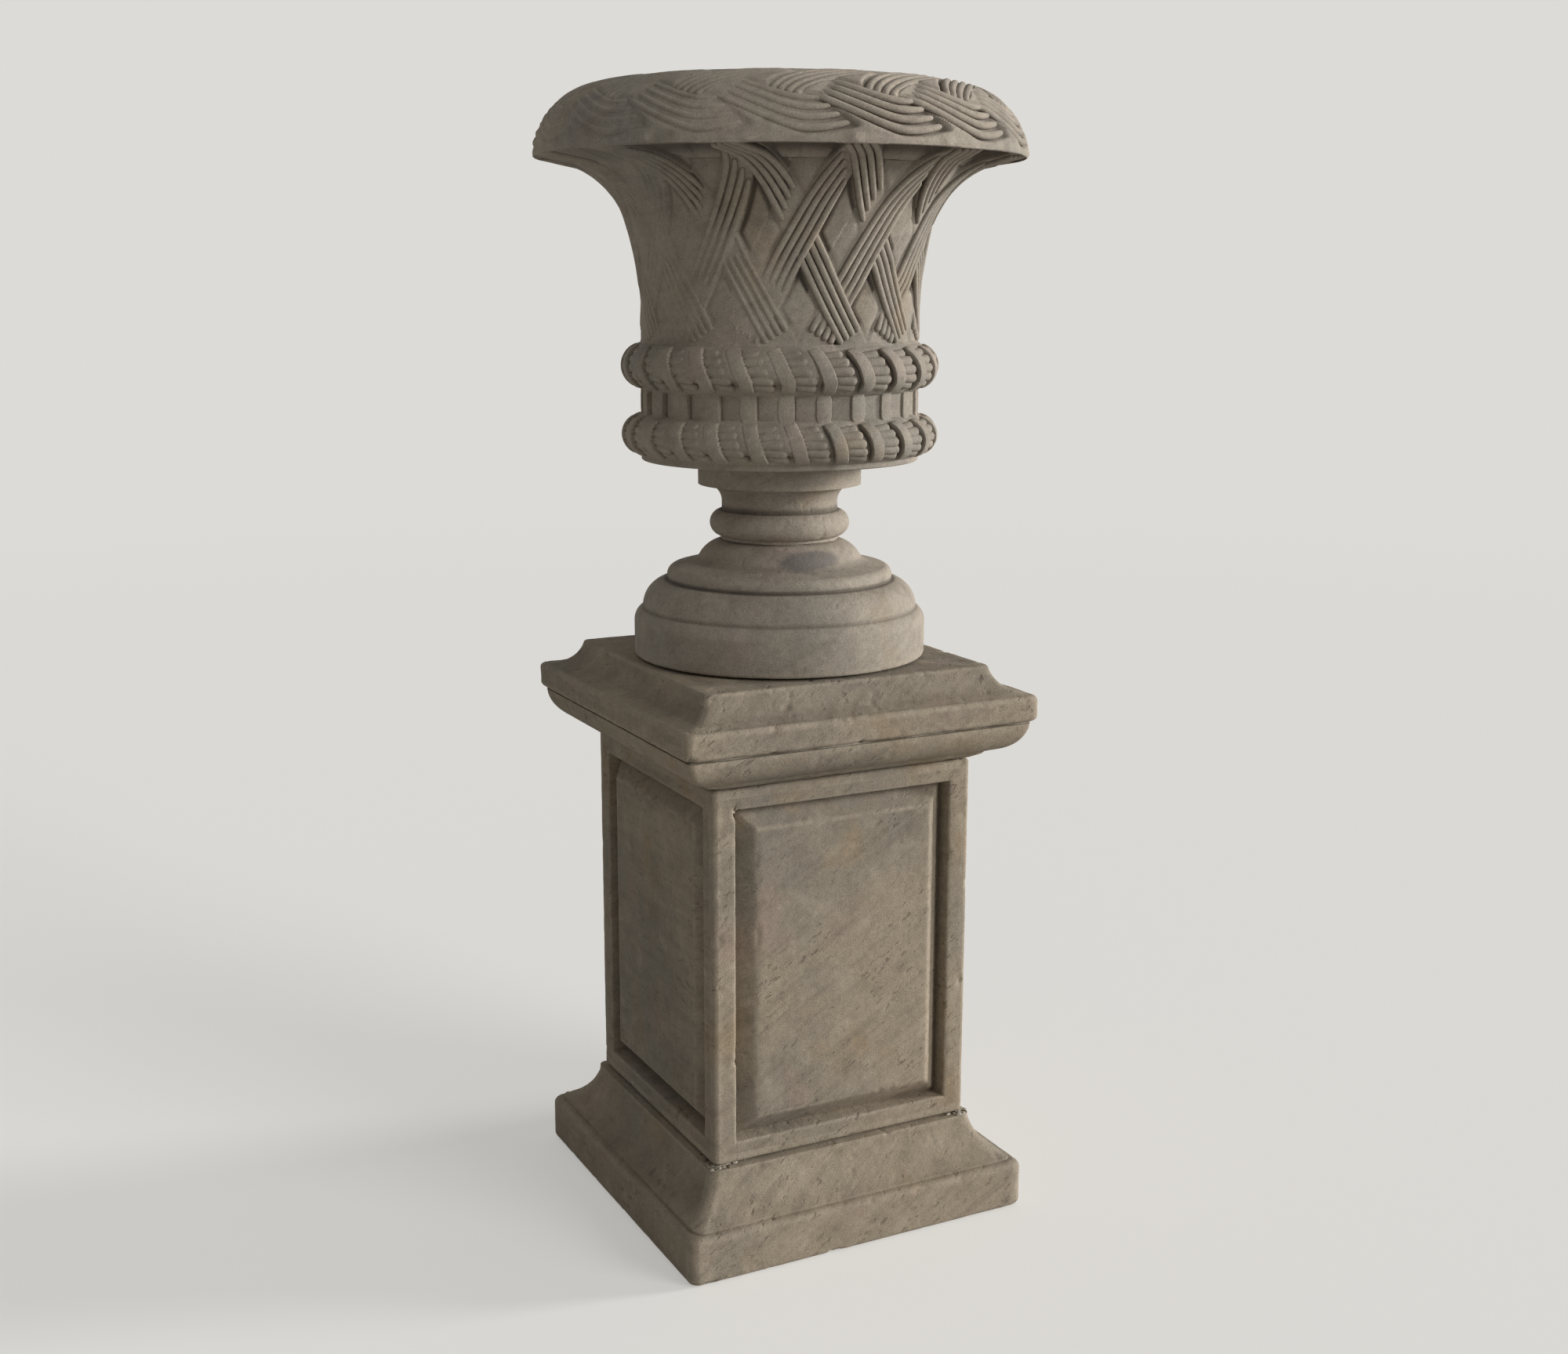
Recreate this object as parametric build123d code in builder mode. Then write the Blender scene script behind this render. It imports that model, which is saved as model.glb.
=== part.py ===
from build123d import *
from math import asin, atan2, cos, hypot, radians, sin, tan
import os

# Carved sandstone garden urn on a square panelled plinth.
# Millimetres, +Z up, origin at the bottom centre of the base, front panel facing -Y.

# Stones: how much rounder the upright corners are worn than the level arrises
corner_wear = 3.0

# Bed joints, and the dry joint under the urn
mortar_bed = 2.0
mortar_setback = 3.0
pad_thickness = 2.0
pad_radius = 25.0
pad_circle_radius = 150.0
pad_count = 3

# Plinth base: square slab, narrow ledge, quirk, cove and lip
base_width = 520.0
base_slab_height = 69.0
base_arris = 10.0
base_ledge = 2.0
base_quirk = 4.0
base_cove_width = 43.0
base_cove_height = 55.0
base_cove_sag = 9.0
base_lip = 3.0

# Plinth die: square shaft with a raised and fielded panel on each side
die_width = 393.4
die_height = 522.0
die_arris = 5.0
panel_margin = 34.0
panel_end_margin = 30.0
panel_depth = 26.0
panel_bevel = 29.0

# Cap bed mould: splay, step, soffit and ovolo
bed_seat_width = 396.0
bed_splay_width = 12.0
bed_splay_height = 6.0
bed_step_width = 3.0
bed_step_height = 4.0
bed_soffit_width = 15.0
bed_soffit_rise = 5.0
bed_ovolo_width = 28.0
bed_ovolo_height = 39.0
bed_ovolo_sag = 7.0

# Cap slab: fascia with worn arrises, weathered ledge and cove
cap_width = 528.0
cap_arris = 8.0
cap_fascia_height = 38.0
cap_ledge_margin = 2.0
cap_ledge_width = 18.0
cap_ledge_rise = 5.0
cap_cove_width = 21.0
cap_cove_height = 27.0
cap_cove_sag = 3.5
cap_top_arris = 5.0

# Urn foot: disc, shoulder, ovolo, rounded ledge and bell
foot_disc_radius = 202.7
foot_disc_height = 48.0
foot_disc_arris = 3.0
foot_shoulder_width = 12.0
foot_shoulder_height = 17.5
foot_shoulder_sag = 3.0
foot_ovolo_width = 34.0
foot_ovolo_height = 38.5
foot_ovolo_sag = 10.0
foot_ledge_edge = 6.0
foot_ledge_round = 13.0
foot_slope_width = 21.0
foot_slope_rise = 5.0
foot_hollow_width = 13.0
foot_hollow_height = 12.5
foot_hollow_sag = 1.7
foot_crown_width = 27.0
foot_crown_height = 17.5
foot_crown_sag = 3.2

# Urn stem: fillet, bead, neck, cove and disc
stem_fillet_radius = 81.8
stem_fillet_height = 3.5
stem_bead_radius = 97.0
stem_bead_height = 36.5
stem_neck_radius = 80.3
stem_neck_height = 13.0
stem_cove_width = 29.0
stem_cove_height = 22.0
stem_cove_sag = 8.0
stem_disc_radius = 112.8
stem_disc_height = 32.0

# Urn bowl: plate, two rings with a strap band between, flaring bell, rolled rim and hollow
waist_radius = 190.0
plate_arris = 3.0
plate_height = 7.5
ring_radius = 216.5
lower_ring_height = 55.0
strap_height = 33.5
upper_ring_height = 62.0
waist_height = 38.0
flare_radius = 209.0
flare_height = 120.0
lip_root_radius = 275.0
lip_root_height = 70.0
lip_radius = 330.5
lip_edge = 5.5
lip_slope_rise = 11.0
crest_radius = 233.0
crest_height = 88.0
rim_roll_sag = 25.0
mouth_radius = 140.0
mouth_depth = 75.0
bowl_floor_thickness = 76.0
bowl_floor_fillet = 35.0

# Bell carving: bands that cross as in a basket, on ground cut back from the bell's outside.
# Turns are degrees about the axis from the carving's facing, anticlockwise from above.
carving_facing = 242.7
weave_count = 12
weave_band_width = 41.0
weave_ground_depth = 8.5
weave_under_depth = 2.5
weave_foot_rise = 5.0
weave_lip_margin = 4.0
slash_foot_turn = -13.7
slash_flare_turn = 11.0
slash_lip_turn = 19.3
back_foot_turn = 28.9
back_under_turn = 8.8
back_under_rise = 95.0
finger_tip_turn = 1.4
finger_tip_rise = 26.0
finger_root_turn = -7.6
finger_lip_turn = -12.9

# Binding carving: ribbons laid over both rings and the strap band, with a tooth cut beside each
ribbon_count = 24
ribbon_width_turn = 5.5
ribbon_lean = 15.0
upper_ribbon_turn = 4.2
strap_ribbon_turn = 6.0
lower_ribbon_turn = 9.2
tooth_depth = 6.0
tooth_end_depth = 1.0
gap_turn = 1.8
gap_depth = 7.5
strap_margin = 1.0

# Rim carving: grooves between strands that fall to the right, hook up and end, and between the
# plumes that rise over them to the crest. Runs go up the rolled rim from the top of the lip's edge.
rim_repeat_count = 16
rim_groove_width = 4.5
rim_groove_depth = 5.5
hook_turn = 51.0
hook_run = 7.2
hook_pitch = 13.6
hook_groove_count = 4
hook_start_turn = -17.0
hook_start_rise = 36.1
hook_bend_turn = -8.0
hook_bend_rise = 12.0
hook_tip_turn = 9.0
hook_tip_drift = -1.9
hook_tip_rise = 6.4
hook_pocket_radius = 3.6
plume_turn = 46.3
plume_run = 68.0
plume_lean = 30.0
plume_pitch = 10.0
plume_groove_count = 3
plume_middle_turn = 5.3
plume_middle_rise = 26.0
plume_middle_lean = 57.0
plume_top_turn = 14.9
plume_top_rise = 50.0
plume_top_lean = 66.0

# Dowels, locating pins and drain
dowel_radius = 8.0
dowel_embed = 40.0
dowel_grout = 0.3
dowel_headroom = 1.0
dowel_circle_radius = 130.0
urn_dowel_radius = 6.0
urn_dowel_embed = 40.0
urn_dowel_circle_radius = 55.0
pin_projection = 40.0
pin_clearance = 1.0
pin_headroom = 4.0
pin_circle_radius = 100.0
drain_radius = 12.5
drain_wall = 3.5
drain_flange_width = 10.0
drain_flange_thickness = 4.0
drain_end_setback = 5.0

# Levels of the stack, from the ground up
base_cove_bottom = base_slab_height + base_quirk
base_cove_top = base_cove_bottom + base_cove_height
base_top = base_cove_top + base_lip
die_bottom = base_top + mortar_bed
die_top = die_bottom + die_height
bed_bottom = die_top + mortar_bed
bed_step_bottom = bed_bottom + bed_splay_height
bed_step_top = bed_step_bottom + bed_step_height
bed_ovolo_bottom = bed_step_top + bed_soffit_rise
bed_top = bed_ovolo_bottom + bed_ovolo_height
cap_bottom = bed_top + mortar_bed
cap_fascia_top = cap_bottom + cap_fascia_height
cap_cove_bottom = cap_fascia_top + cap_ledge_rise
cap_cove_top = cap_cove_bottom + cap_cove_height
cap_top = cap_cove_top + cap_top_arris
foot_bottom = cap_top + pad_thickness
foot_disc_top = foot_bottom + foot_disc_height
foot_ovolo_bottom = foot_disc_top + foot_shoulder_height
foot_ledge_bottom = foot_ovolo_bottom + foot_ovolo_height
foot_ledge_top = foot_ledge_bottom + foot_ledge_edge + foot_ledge_round
foot_hollow_bottom = foot_ledge_top + foot_slope_rise
foot_crown_bottom = foot_hollow_bottom + foot_hollow_height
foot_top = foot_crown_bottom + foot_crown_height
stem_bottom = foot_top + mortar_bed
stem_bead_bottom = stem_bottom + stem_fillet_height
stem_neck_bottom = stem_bead_bottom + stem_bead_height
stem_cove_bottom = stem_neck_bottom + stem_neck_height
stem_disc_bottom = stem_cove_bottom + stem_cove_height
stem_top = stem_disc_bottom + stem_disc_height
bowl_bottom = stem_top + mortar_bed
lower_ring_bottom = bowl_bottom + plate_height
strap_bottom = lower_ring_bottom + lower_ring_height
strap_top = strap_bottom + strap_height
waist_bottom = strap_top + upper_ring_height
flare_bottom = waist_bottom + waist_height
lip_root_bottom = flare_bottom + flare_height
lip_slope_bottom = lip_root_bottom + lip_root_height
lip_bottom = lip_slope_bottom + lip_slope_rise
lip_top = lip_bottom + lip_edge
crest_top = lip_top + crest_height
mouth_throat = crest_top - mouth_depth
bowl_floor = bowl_bottom + bowl_floor_thickness

# Half widths and radii that follow from the mouldings
base_half = base_width / 2
base_ledge_half = base_half - base_arris - base_ledge
base_seat_half = base_ledge_half - base_cove_width
die_half = die_width / 2
die_seat_width = die_width - 2 * die_arris
die_middle = (die_bottom + die_top) / 2
sinking_width = die_width - 2 * panel_margin
sinking_height = die_height - 2 * panel_end_margin
bed_seat_half = bed_seat_width / 2
bed_splay_half = bed_seat_half + bed_splay_width
bed_step_half = bed_splay_half + bed_step_width
bed_soffit_half = bed_step_half + bed_soffit_width
bed_top_half = bed_soffit_half + bed_ovolo_width
cap_ledge_half = cap_width / 2 - cap_arris - cap_ledge_margin
cap_cove_half = cap_ledge_half - cap_ledge_width
cap_seat_half = cap_cove_half - cap_cove_width
foot_ovolo_radius = foot_disc_radius - foot_shoulder_width
foot_ledge_radius = foot_ovolo_radius - foot_ovolo_width
foot_slope_radius = foot_ledge_radius - foot_ledge_round
foot_hollow_radius = foot_slope_radius - foot_slope_width
foot_crown_radius = foot_hollow_radius - foot_hollow_width
foot_seat_radius = foot_crown_radius - foot_crown_width
drain_pipe_radius = drain_radius + drain_wall
drain_bore_radius = drain_pipe_radius + dowel_grout
drain_flange_radius = drain_pipe_radius + drain_flange_width

# The bell's outside leans out by these angles where its arcs meet; its ground runs parallel to it
flare_lean = 2 * atan2(flare_radius - waist_radius, flare_height)
lip_root_lean = 2 * atan2(lip_root_radius - flare_radius, lip_root_height) - flare_lean
lip_slope_lean = atan2(lip_radius - lip_edge - lip_root_radius, lip_slope_rise)
weave_foot = waist_bottom + weave_foot_rise
weave_lip_radius = lip_radius - lip_edge - weave_lip_margin
weave_outer_radius = 2 * ring_radius - waist_radius
weave_start_radius = (waist_radius + mouth_radius) / 2 - weave_ground_depth
tooth_turn = 360 / ribbon_count - ribbon_width_turn

# The rim's roll: its radius, its lean at the lip, its centre, and its run up to the crest
rim_roll_width = lip_radius - crest_radius
rim_roll_chord = hypot(rim_roll_width, crest_height)
rim_roll_radius = rim_roll_chord ** 2 / (8 * rim_roll_sag) + rim_roll_sag / 2
rim_half_roll = asin(rim_roll_chord / 2 / rim_roll_radius)
rim_foot_lean = atan2(rim_roll_width, crest_height) - rim_half_roll
rim_centre_radius = lip_radius - rim_roll_radius * cos(rim_foot_lean)
rim_centre_level = lip_top - rim_roll_radius * sin(rim_foot_lean)
crest_run = 2 * rim_half_roll * rim_roll_radius
rim_groove_reach = 2 * rim_roll_sag
hook_middle_run = hook_run + hook_pitch * hook_groove_count / 2
plume_middle_run = plume_run + plume_middle_rise
plume_stations = (
    (0, plume_run, radians(plume_lean)),
    (plume_middle_turn, plume_middle_run, radians(plume_middle_lean)),
    (plume_top_turn, plume_run + plume_top_rise, radians(plume_top_lean)),
)

# Where the pins stand in each joint
main_diagonal = PolarLocations(dowel_circle_radius, 2, start_angle=45)
other_diagonal = PolarLocations(dowel_circle_radius, 2, start_angle=135)
pin_spots = PolarLocations(pin_circle_radius, 2)
foot_dowel_spots = PolarLocations(urn_dowel_circle_radius, 2)
stem_dowel_spots = PolarLocations(urn_dowel_circle_radius, 2, start_angle=90)
pad_spots = PolarLocations(pad_circle_radius, pad_count, start_angle=90)

side_runs = ((Plane.XZ, Mode.ADD), (Plane.YZ, Mode.INTERSECT))

os.makedirs("parts", exist_ok=True)


def bore_row(spots, level, radius, depth):
    """Blind bores in the stone being built: upwards from level, or downwards for a negative depth."""
    with BuildSketch(Plane.XY.offset(level)) as mouths:
        with spots:
            Circle(radius)
    extrude(mouths.sketch, amount=depth, mode=Mode.SUBTRACT)


def dowel_set(label, spots, joint, radius, embed):
    """Dowels across one bed joint, standing on the floors of their lower bores."""
    with BuildPart() as dowels:
        with BuildSketch(Plane.XY.offset(joint - embed)):
            with spots:
                Circle(radius)
        extrude(amount=2 * embed + mortar_bed - dowel_headroom)
    dowels.part.label = label
    export_step(dowels.part, f"parts/{label}.step")


def square_bed(label, seat_width, joint, spots):
    """A mortar bed of a plinth joint, raked back from the stones' seats, with the dowels' bores."""
    with BuildPart() as bed:
        with BuildSketch(Plane.XY.offset(joint)):
            Rectangle(seat_width - 2 * mortar_setback, seat_width - 2 * mortar_setback)
            with spots:
                Circle(dowel_radius + dowel_grout, mode=Mode.SUBTRACT)
        extrude(amount=mortar_bed)
    bed.part.label = label
    export_step(bed.part, f"parts/{label}.step")


def round_bed(label, seat_radius, joint, spots):
    """A mortar bed of an urn joint, with the bores of the dowels and the drain."""
    with BuildPart() as bed:
        with BuildSketch(Plane.XY.offset(joint)):
            Circle(seat_radius - mortar_setback)
            Circle(drain_bore_radius, mode=Mode.SUBTRACT)
            with spots:
                Circle(urn_dowel_radius + dowel_grout, mode=Mode.SUBTRACT)
        extrude(amount=mortar_bed)
    bed.part.label = label
    export_step(bed.part, f"parts/{label}.step")


def bell_skin(depth):
    """Everything outside the bell's carved stretch, down to a depth below its outside."""
    lip_root_end = lip_root_radius - depth * cos(lip_root_lean)
    lip_root_top = lip_slope_bottom + depth * sin(lip_root_lean)
    lip_top_level = lip_root_top + (weave_lip_radius - lip_root_end) / tan(lip_slope_lean)
    with BuildPart() as skin:
        with BuildSketch(Plane.XZ):
            with BuildLine():
                waist = Line((waist_radius - depth, weave_foot), (waist_radius - depth, flare_bottom))
                flare_end = flare_radius - depth * cos(flare_lean)
                flare_top = lip_root_bottom + depth * sin(flare_lean)
                flare = TangentArc(waist @ 1, (flare_end, flare_top), tangent=(0, 1))
                root = TangentArc(flare @ 1, (lip_root_end, lip_root_top), tangent=flare % 1)
                Polyline(root @ 1, (weave_lip_radius, lip_top_level), (weave_lip_radius, lip_root_bottom),
                         (weave_outer_radius, weave_foot), waist @ 0)
            make_face()
        revolve(axis=Axis.Z)
    return skin.part


def keep_bands(turns, radii, levels):
    """Leaves bands standing in the skin being built: each runs through the stations given by turn,
    radius and level, and is square to the outside at the middle of its turns."""
    middle = (turns[0] + turns[-1]) / 2
    facing = carving_facing + middle
    planes = [
        Plane.YZ.rotated((0, 0, facing + 360 * repeat / weave_count)).offset(weave_start_radius)
        for repeat in range(weave_count)
    ]
    stations = [
        (radius * sin(radians(turn - middle)), level)
        for turn, radius, level in zip(turns, radii, levels)
    ]
    with BuildSketch(*planes) as bands:
        with BuildLine():
            if len(stations) == 2:
                Line(*stations)
            else:
                ThreePointArc(*stations)
        trace(line_width=weave_band_width)
    extrude(bands.sketch, amount=lip_radius - weave_start_radius, mode=Mode.SUBTRACT)


def keep_slash_bands():
    """Leaves the unbroken bands that lean to the right."""
    keep_bands((slash_foot_turn, slash_flare_turn, slash_lip_turn),
               (waist_radius, flare_radius, lip_radius - lip_edge),
               (weave_foot, lip_root_bottom, lip_bottom))


def rim_point(run, depth=0.0):
    """Radius and level of the rolled rim at a run, and at a depth below its outside."""
    lean = rim_foot_lean + run / rim_roll_radius
    size = rim_roll_radius - depth
    return rim_centre_radius + size * cos(lean), rim_centre_level + size * sin(lean)


def rim_width(turn, run):
    """Width of a turn on the rolled rim at a run."""
    return radians(turn) * rim_point(run)[0]


def rim_planes(turn, run):
    """Planes square to the rolled rim at a turn and a run, one for each of its repeats."""
    lean = rim_foot_lean + run / rim_roll_radius
    out, up = rim_point(run)
    planes = []
    for repeat in range(rim_repeat_count):
        facing = radians(carving_facing + turn + 360 * repeat / rim_repeat_count)
        planes.append(Plane((out * cos(facing), out * sin(facing), up),
                            x_dir=(-sin(facing), cos(facing), 0),
                            z_dir=(cos(lean) * cos(facing), cos(lean) * sin(facing), sin(lean))))
    return planes


# Plinth base: the cove runs round all four sides and mitres at the corners
with BuildPart() as base_cove:
    for run_plane, run_mode in side_runs:
        with BuildSketch(run_plane):
            with BuildLine():
                Line((0, base_slab_height), (base_ledge_half, base_slab_height))
                Line((base_ledge_half, base_slab_height), (base_ledge_half, base_cove_bottom))
                SagittaArc((base_ledge_half, base_cove_bottom), (base_seat_half, base_cove_top),
                           base_cove_sag)
                Polyline((base_seat_half, base_cove_top), (base_seat_half, base_top), (0, base_top))
                Line((0, base_top), (0, base_slab_height))
            make_face()
            mirror(about=Plane.YZ)
        extrude(amount=base_half, both=True, mode=run_mode)

with BuildPart() as plinth_base:
    with BuildSketch():
        RectangleRounded(base_width, base_width, base_arris + corner_wear)
    extrude(amount=base_slab_height)
    level_edges = plinth_base.edges().group_by(Axis.Z)
    fillet(level_edges[0] + level_edges[-1], base_arris)
    add(base_cove.part)
    bore_row(main_diagonal, base_top, dowel_radius + dowel_grout, -dowel_embed)
plinth_base.part.label = "plinth_base"
export_step(plinth_base.part, "parts/plinth_base.step")

# Plinth die: each panel is a square-cut sinking, with a bevel that rises to a field flush with the face
with BuildPart() as plinth_die:
    with BuildSketch(Plane.XY.offset(die_bottom)):
        RectangleRounded(die_width, die_width, die_arris + corner_wear)
    extrude(amount=die_height)
    level_edges = plinth_die.edges().group_by(Axis.Z)
    fillet(level_edges[0] + level_edges[-1], die_arris)
    for side in (Plane.front, Plane.right, Plane.back, Plane.left):
        with BuildSketch(side.offset(die_half)):
            with Locations((0, die_middle)):
                Rectangle(sinking_width, sinking_height)
        extrude(amount=-panel_depth, mode=Mode.SUBTRACT)
        with BuildSketch(side.offset(die_half - panel_depth)):
            with Locations((0, die_middle)):
                Rectangle(sinking_width, sinking_height)
        with BuildSketch(side.offset(die_half)):
            with Locations((0, die_middle)):
                Rectangle(sinking_width - 2 * panel_bevel, sinking_height - 2 * panel_bevel)
        loft(ruled=True)
    bore_row(main_diagonal, die_bottom, dowel_radius + dowel_grout, dowel_embed)
    bore_row(main_diagonal, die_top, dowel_radius + dowel_grout, -dowel_embed)
plinth_die.part.label = "plinth_die"
export_step(plinth_die.part, "parts/plinth_die.step")

# Cap bed mould: splay, step, soffit and ovolo, mitred at the corners
with BuildPart() as cap_bed_mould:
    for run_plane, run_mode in side_runs:
        with BuildSketch(run_plane):
            with BuildLine():
                Polyline((0, bed_bottom), (bed_seat_half, bed_bottom), (bed_splay_half, bed_step_bottom),
                         (bed_step_half, bed_step_top), (bed_soffit_half, bed_ovolo_bottom))
                SagittaArc((bed_soffit_half, bed_ovolo_bottom), (bed_top_half, bed_top), -bed_ovolo_sag)
                Polyline((bed_top_half, bed_top), (0, bed_top), (0, bed_bottom))
            make_face()
            mirror(about=Plane.YZ)
        extrude(amount=bed_top_half, both=True, mode=run_mode)
    bore_row(main_diagonal, bed_bottom, dowel_radius + dowel_grout, dowel_embed)
    bore_row(other_diagonal, bed_top, dowel_radius + dowel_grout, -dowel_embed)
cap_bed_mould.part.label = "cap_bed_mould"
export_step(cap_bed_mould.part, "parts/cap_bed_mould.step")

# Cap slab: fascia, and above it the weathered ledge and the cove up to the urn's seat
with BuildPart() as cap_cove:
    for run_plane, run_mode in side_runs:
        with BuildSketch(run_plane):
            with BuildLine():
                Line((0, cap_fascia_top), (cap_ledge_half, cap_fascia_top))
                Line((cap_ledge_half, cap_fascia_top), (cap_cove_half, cap_cove_bottom))
                SagittaArc((cap_cove_half, cap_cove_bottom), (cap_seat_half, cap_cove_top), cap_cove_sag)
                RadiusArc((cap_seat_half, cap_cove_top), (cap_seat_half - cap_top_arris, cap_top),
                          -cap_top_arris)
                Polyline((cap_seat_half - cap_top_arris, cap_top), (0, cap_top), (0, cap_fascia_top))
            make_face()
            mirror(about=Plane.YZ)
        extrude(amount=cap_ledge_half, both=True, mode=run_mode)

with BuildPart() as cap_slab:
    with BuildSketch(Plane.XY.offset(cap_bottom)):
        RectangleRounded(cap_width, cap_width, cap_arris + corner_wear)
    extrude(amount=cap_fascia_height)
    level_edges = cap_slab.edges().group_by(Axis.Z)
    fillet(level_edges[0] + level_edges[-1], cap_arris)
    add(cap_cove.part)
    bore_row(other_diagonal, cap_bottom, dowel_radius + dowel_grout, dowel_embed)
    bore_row(pin_spots, cap_top, dowel_radius + dowel_grout, -dowel_embed)
cap_slab.part.label = "cap_slab"
export_step(cap_slab.part, "parts/cap_slab.step")

# Urn foot, with sockets that drop over the locating pins
with BuildPart() as urn_foot:
    with BuildSketch(Plane.XZ):
        with BuildLine():
            bottom = Line((drain_bore_radius, foot_bottom),
                          (foot_disc_radius - foot_disc_arris, foot_bottom))
            arris = RadiusArc(bottom @ 1, (foot_disc_radius, foot_bottom + foot_disc_arris),
                              -foot_disc_arris)
            edge = Line(arris @ 1, (foot_disc_radius, foot_disc_top))
            shoulder = SagittaArc(edge @ 1, (foot_ovolo_radius, foot_ovolo_bottom), -foot_shoulder_sag)
            ovolo = SagittaArc(shoulder @ 1, (foot_ledge_radius, foot_ledge_bottom), -foot_ovolo_sag)
            ledge = Line(ovolo @ 1, (foot_ledge_radius, foot_ledge_bottom + foot_ledge_edge))
            rounding = RadiusArc(ledge @ 1, (foot_slope_radius, foot_ledge_top), -foot_ledge_round)
            slope = Line(rounding @ 1, (foot_hollow_radius, foot_hollow_bottom))
            hollow = SagittaArc(slope @ 1, (foot_crown_radius, foot_crown_bottom), foot_hollow_sag)
            crown = SagittaArc(hollow @ 1, (foot_seat_radius, foot_top), -foot_crown_sag)
            Polyline(crown @ 1, (drain_bore_radius, foot_top), bottom @ 0)
        make_face()
    revolve(axis=Axis.Z)
    bore_row(pin_spots, foot_bottom, dowel_radius + pin_clearance,
             pin_projection - pad_thickness + pin_headroom)
    bore_row(foot_dowel_spots, foot_top, urn_dowel_radius + dowel_grout, -urn_dowel_embed)
urn_foot.part.label = "urn_foot"
export_step(urn_foot.part, "parts/urn_foot.step")

# Urn stem
with BuildPart() as urn_stem:
    with BuildSketch(Plane.XZ):
        with BuildLine():
            fillet_edge = Polyline((drain_bore_radius, stem_bottom), (stem_fillet_radius, stem_bottom),
                                   (stem_fillet_radius, stem_bead_bottom))
            bead = ThreePointArc(fillet_edge @ 1,
                                 (stem_bead_radius, (stem_bead_bottom + stem_neck_bottom) / 2),
                                 (stem_neck_radius, stem_neck_bottom))
            neck = Line(bead @ 1, (stem_neck_radius, stem_cove_bottom))
            cove = SagittaArc(neck @ 1, (stem_neck_radius + stem_cove_width, stem_disc_bottom),
                              stem_cove_sag)
            Polyline(cove @ 1, (stem_disc_radius, stem_disc_bottom), (stem_disc_radius, stem_top),
                     (drain_bore_radius, stem_top), fillet_edge @ 0)
        make_face()
    revolve(axis=Axis.Z)
    bore_row(foot_dowel_spots, stem_bottom, urn_dowel_radius + dowel_grout, urn_dowel_embed)
    bore_row(stem_dowel_spots, stem_top, urn_dowel_radius + dowel_grout, -urn_dowel_embed)
urn_stem.part.label = "urn_stem"
export_step(urn_stem.part, "parts/urn_stem.step")

# Bell carving: what is cut away beside all the bands, and above the bands that pass under
with BuildPart() as weave_pockets:
    add(bell_skin(weave_ground_depth))
    keep_slash_bands()
    keep_bands((back_foot_turn, back_under_turn),
               (waist_radius, (waist_radius + flare_radius) / 2),
               (weave_foot, flare_bottom + back_under_rise))
    keep_bands((finger_tip_turn, finger_root_turn, finger_lip_turn),
               (flare_radius, lip_root_radius, lip_radius - lip_edge),
               (lip_root_bottom + finger_tip_rise, lip_slope_bottom, lip_bottom))
with BuildPart() as weave_crossings:
    add(bell_skin(weave_under_depth))
    keep_slash_bands()

# Binding carving: one tooth of each ring, with the gap at its end, and one of the strap band.
# Each starts at the right edge of a ribbon, on the +X side.
with BuildPart() as ring_tooth:
    with BuildSketch(Plane.XY.rotated((ribbon_lean, 0, 0))):
        with BuildLine():
            ends = [radians(tooth_turn - gap_turn), radians(tooth_turn)]
            Polyline((ring_radius + tooth_depth, 0), (ring_radius - tooth_depth, 0),
                     (ring_radius * cos(ends[0]) - tooth_end_depth, ring_radius * sin(ends[0])),
                     (ring_radius * cos(ends[0]) - gap_depth, ring_radius * sin(ends[0])),
                     (ring_radius * cos(ends[1]) - gap_depth, ring_radius * sin(ends[1])),
                     (ring_radius + tooth_depth, ring_radius * sin(ends[1])), close=True)
        make_face()
    extrude(amount=lower_ring_height / 2, both=True)
with BuildPart() as strap_tooth:
    with BuildSketch(Plane.XY.offset(strap_bottom + strap_margin)):
        with BuildLine():
            end = radians(tooth_turn)
            Polyline((waist_radius + tooth_depth, 0), (waist_radius - tooth_depth, 0),
                     (waist_radius * cos(end) - tooth_end_depth, waist_radius * sin(end)),
                     (waist_radius + tooth_depth, waist_radius * sin(end)), close=True)
        make_face()
    extrude(amount=strap_height - 2 * strap_margin)

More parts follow.
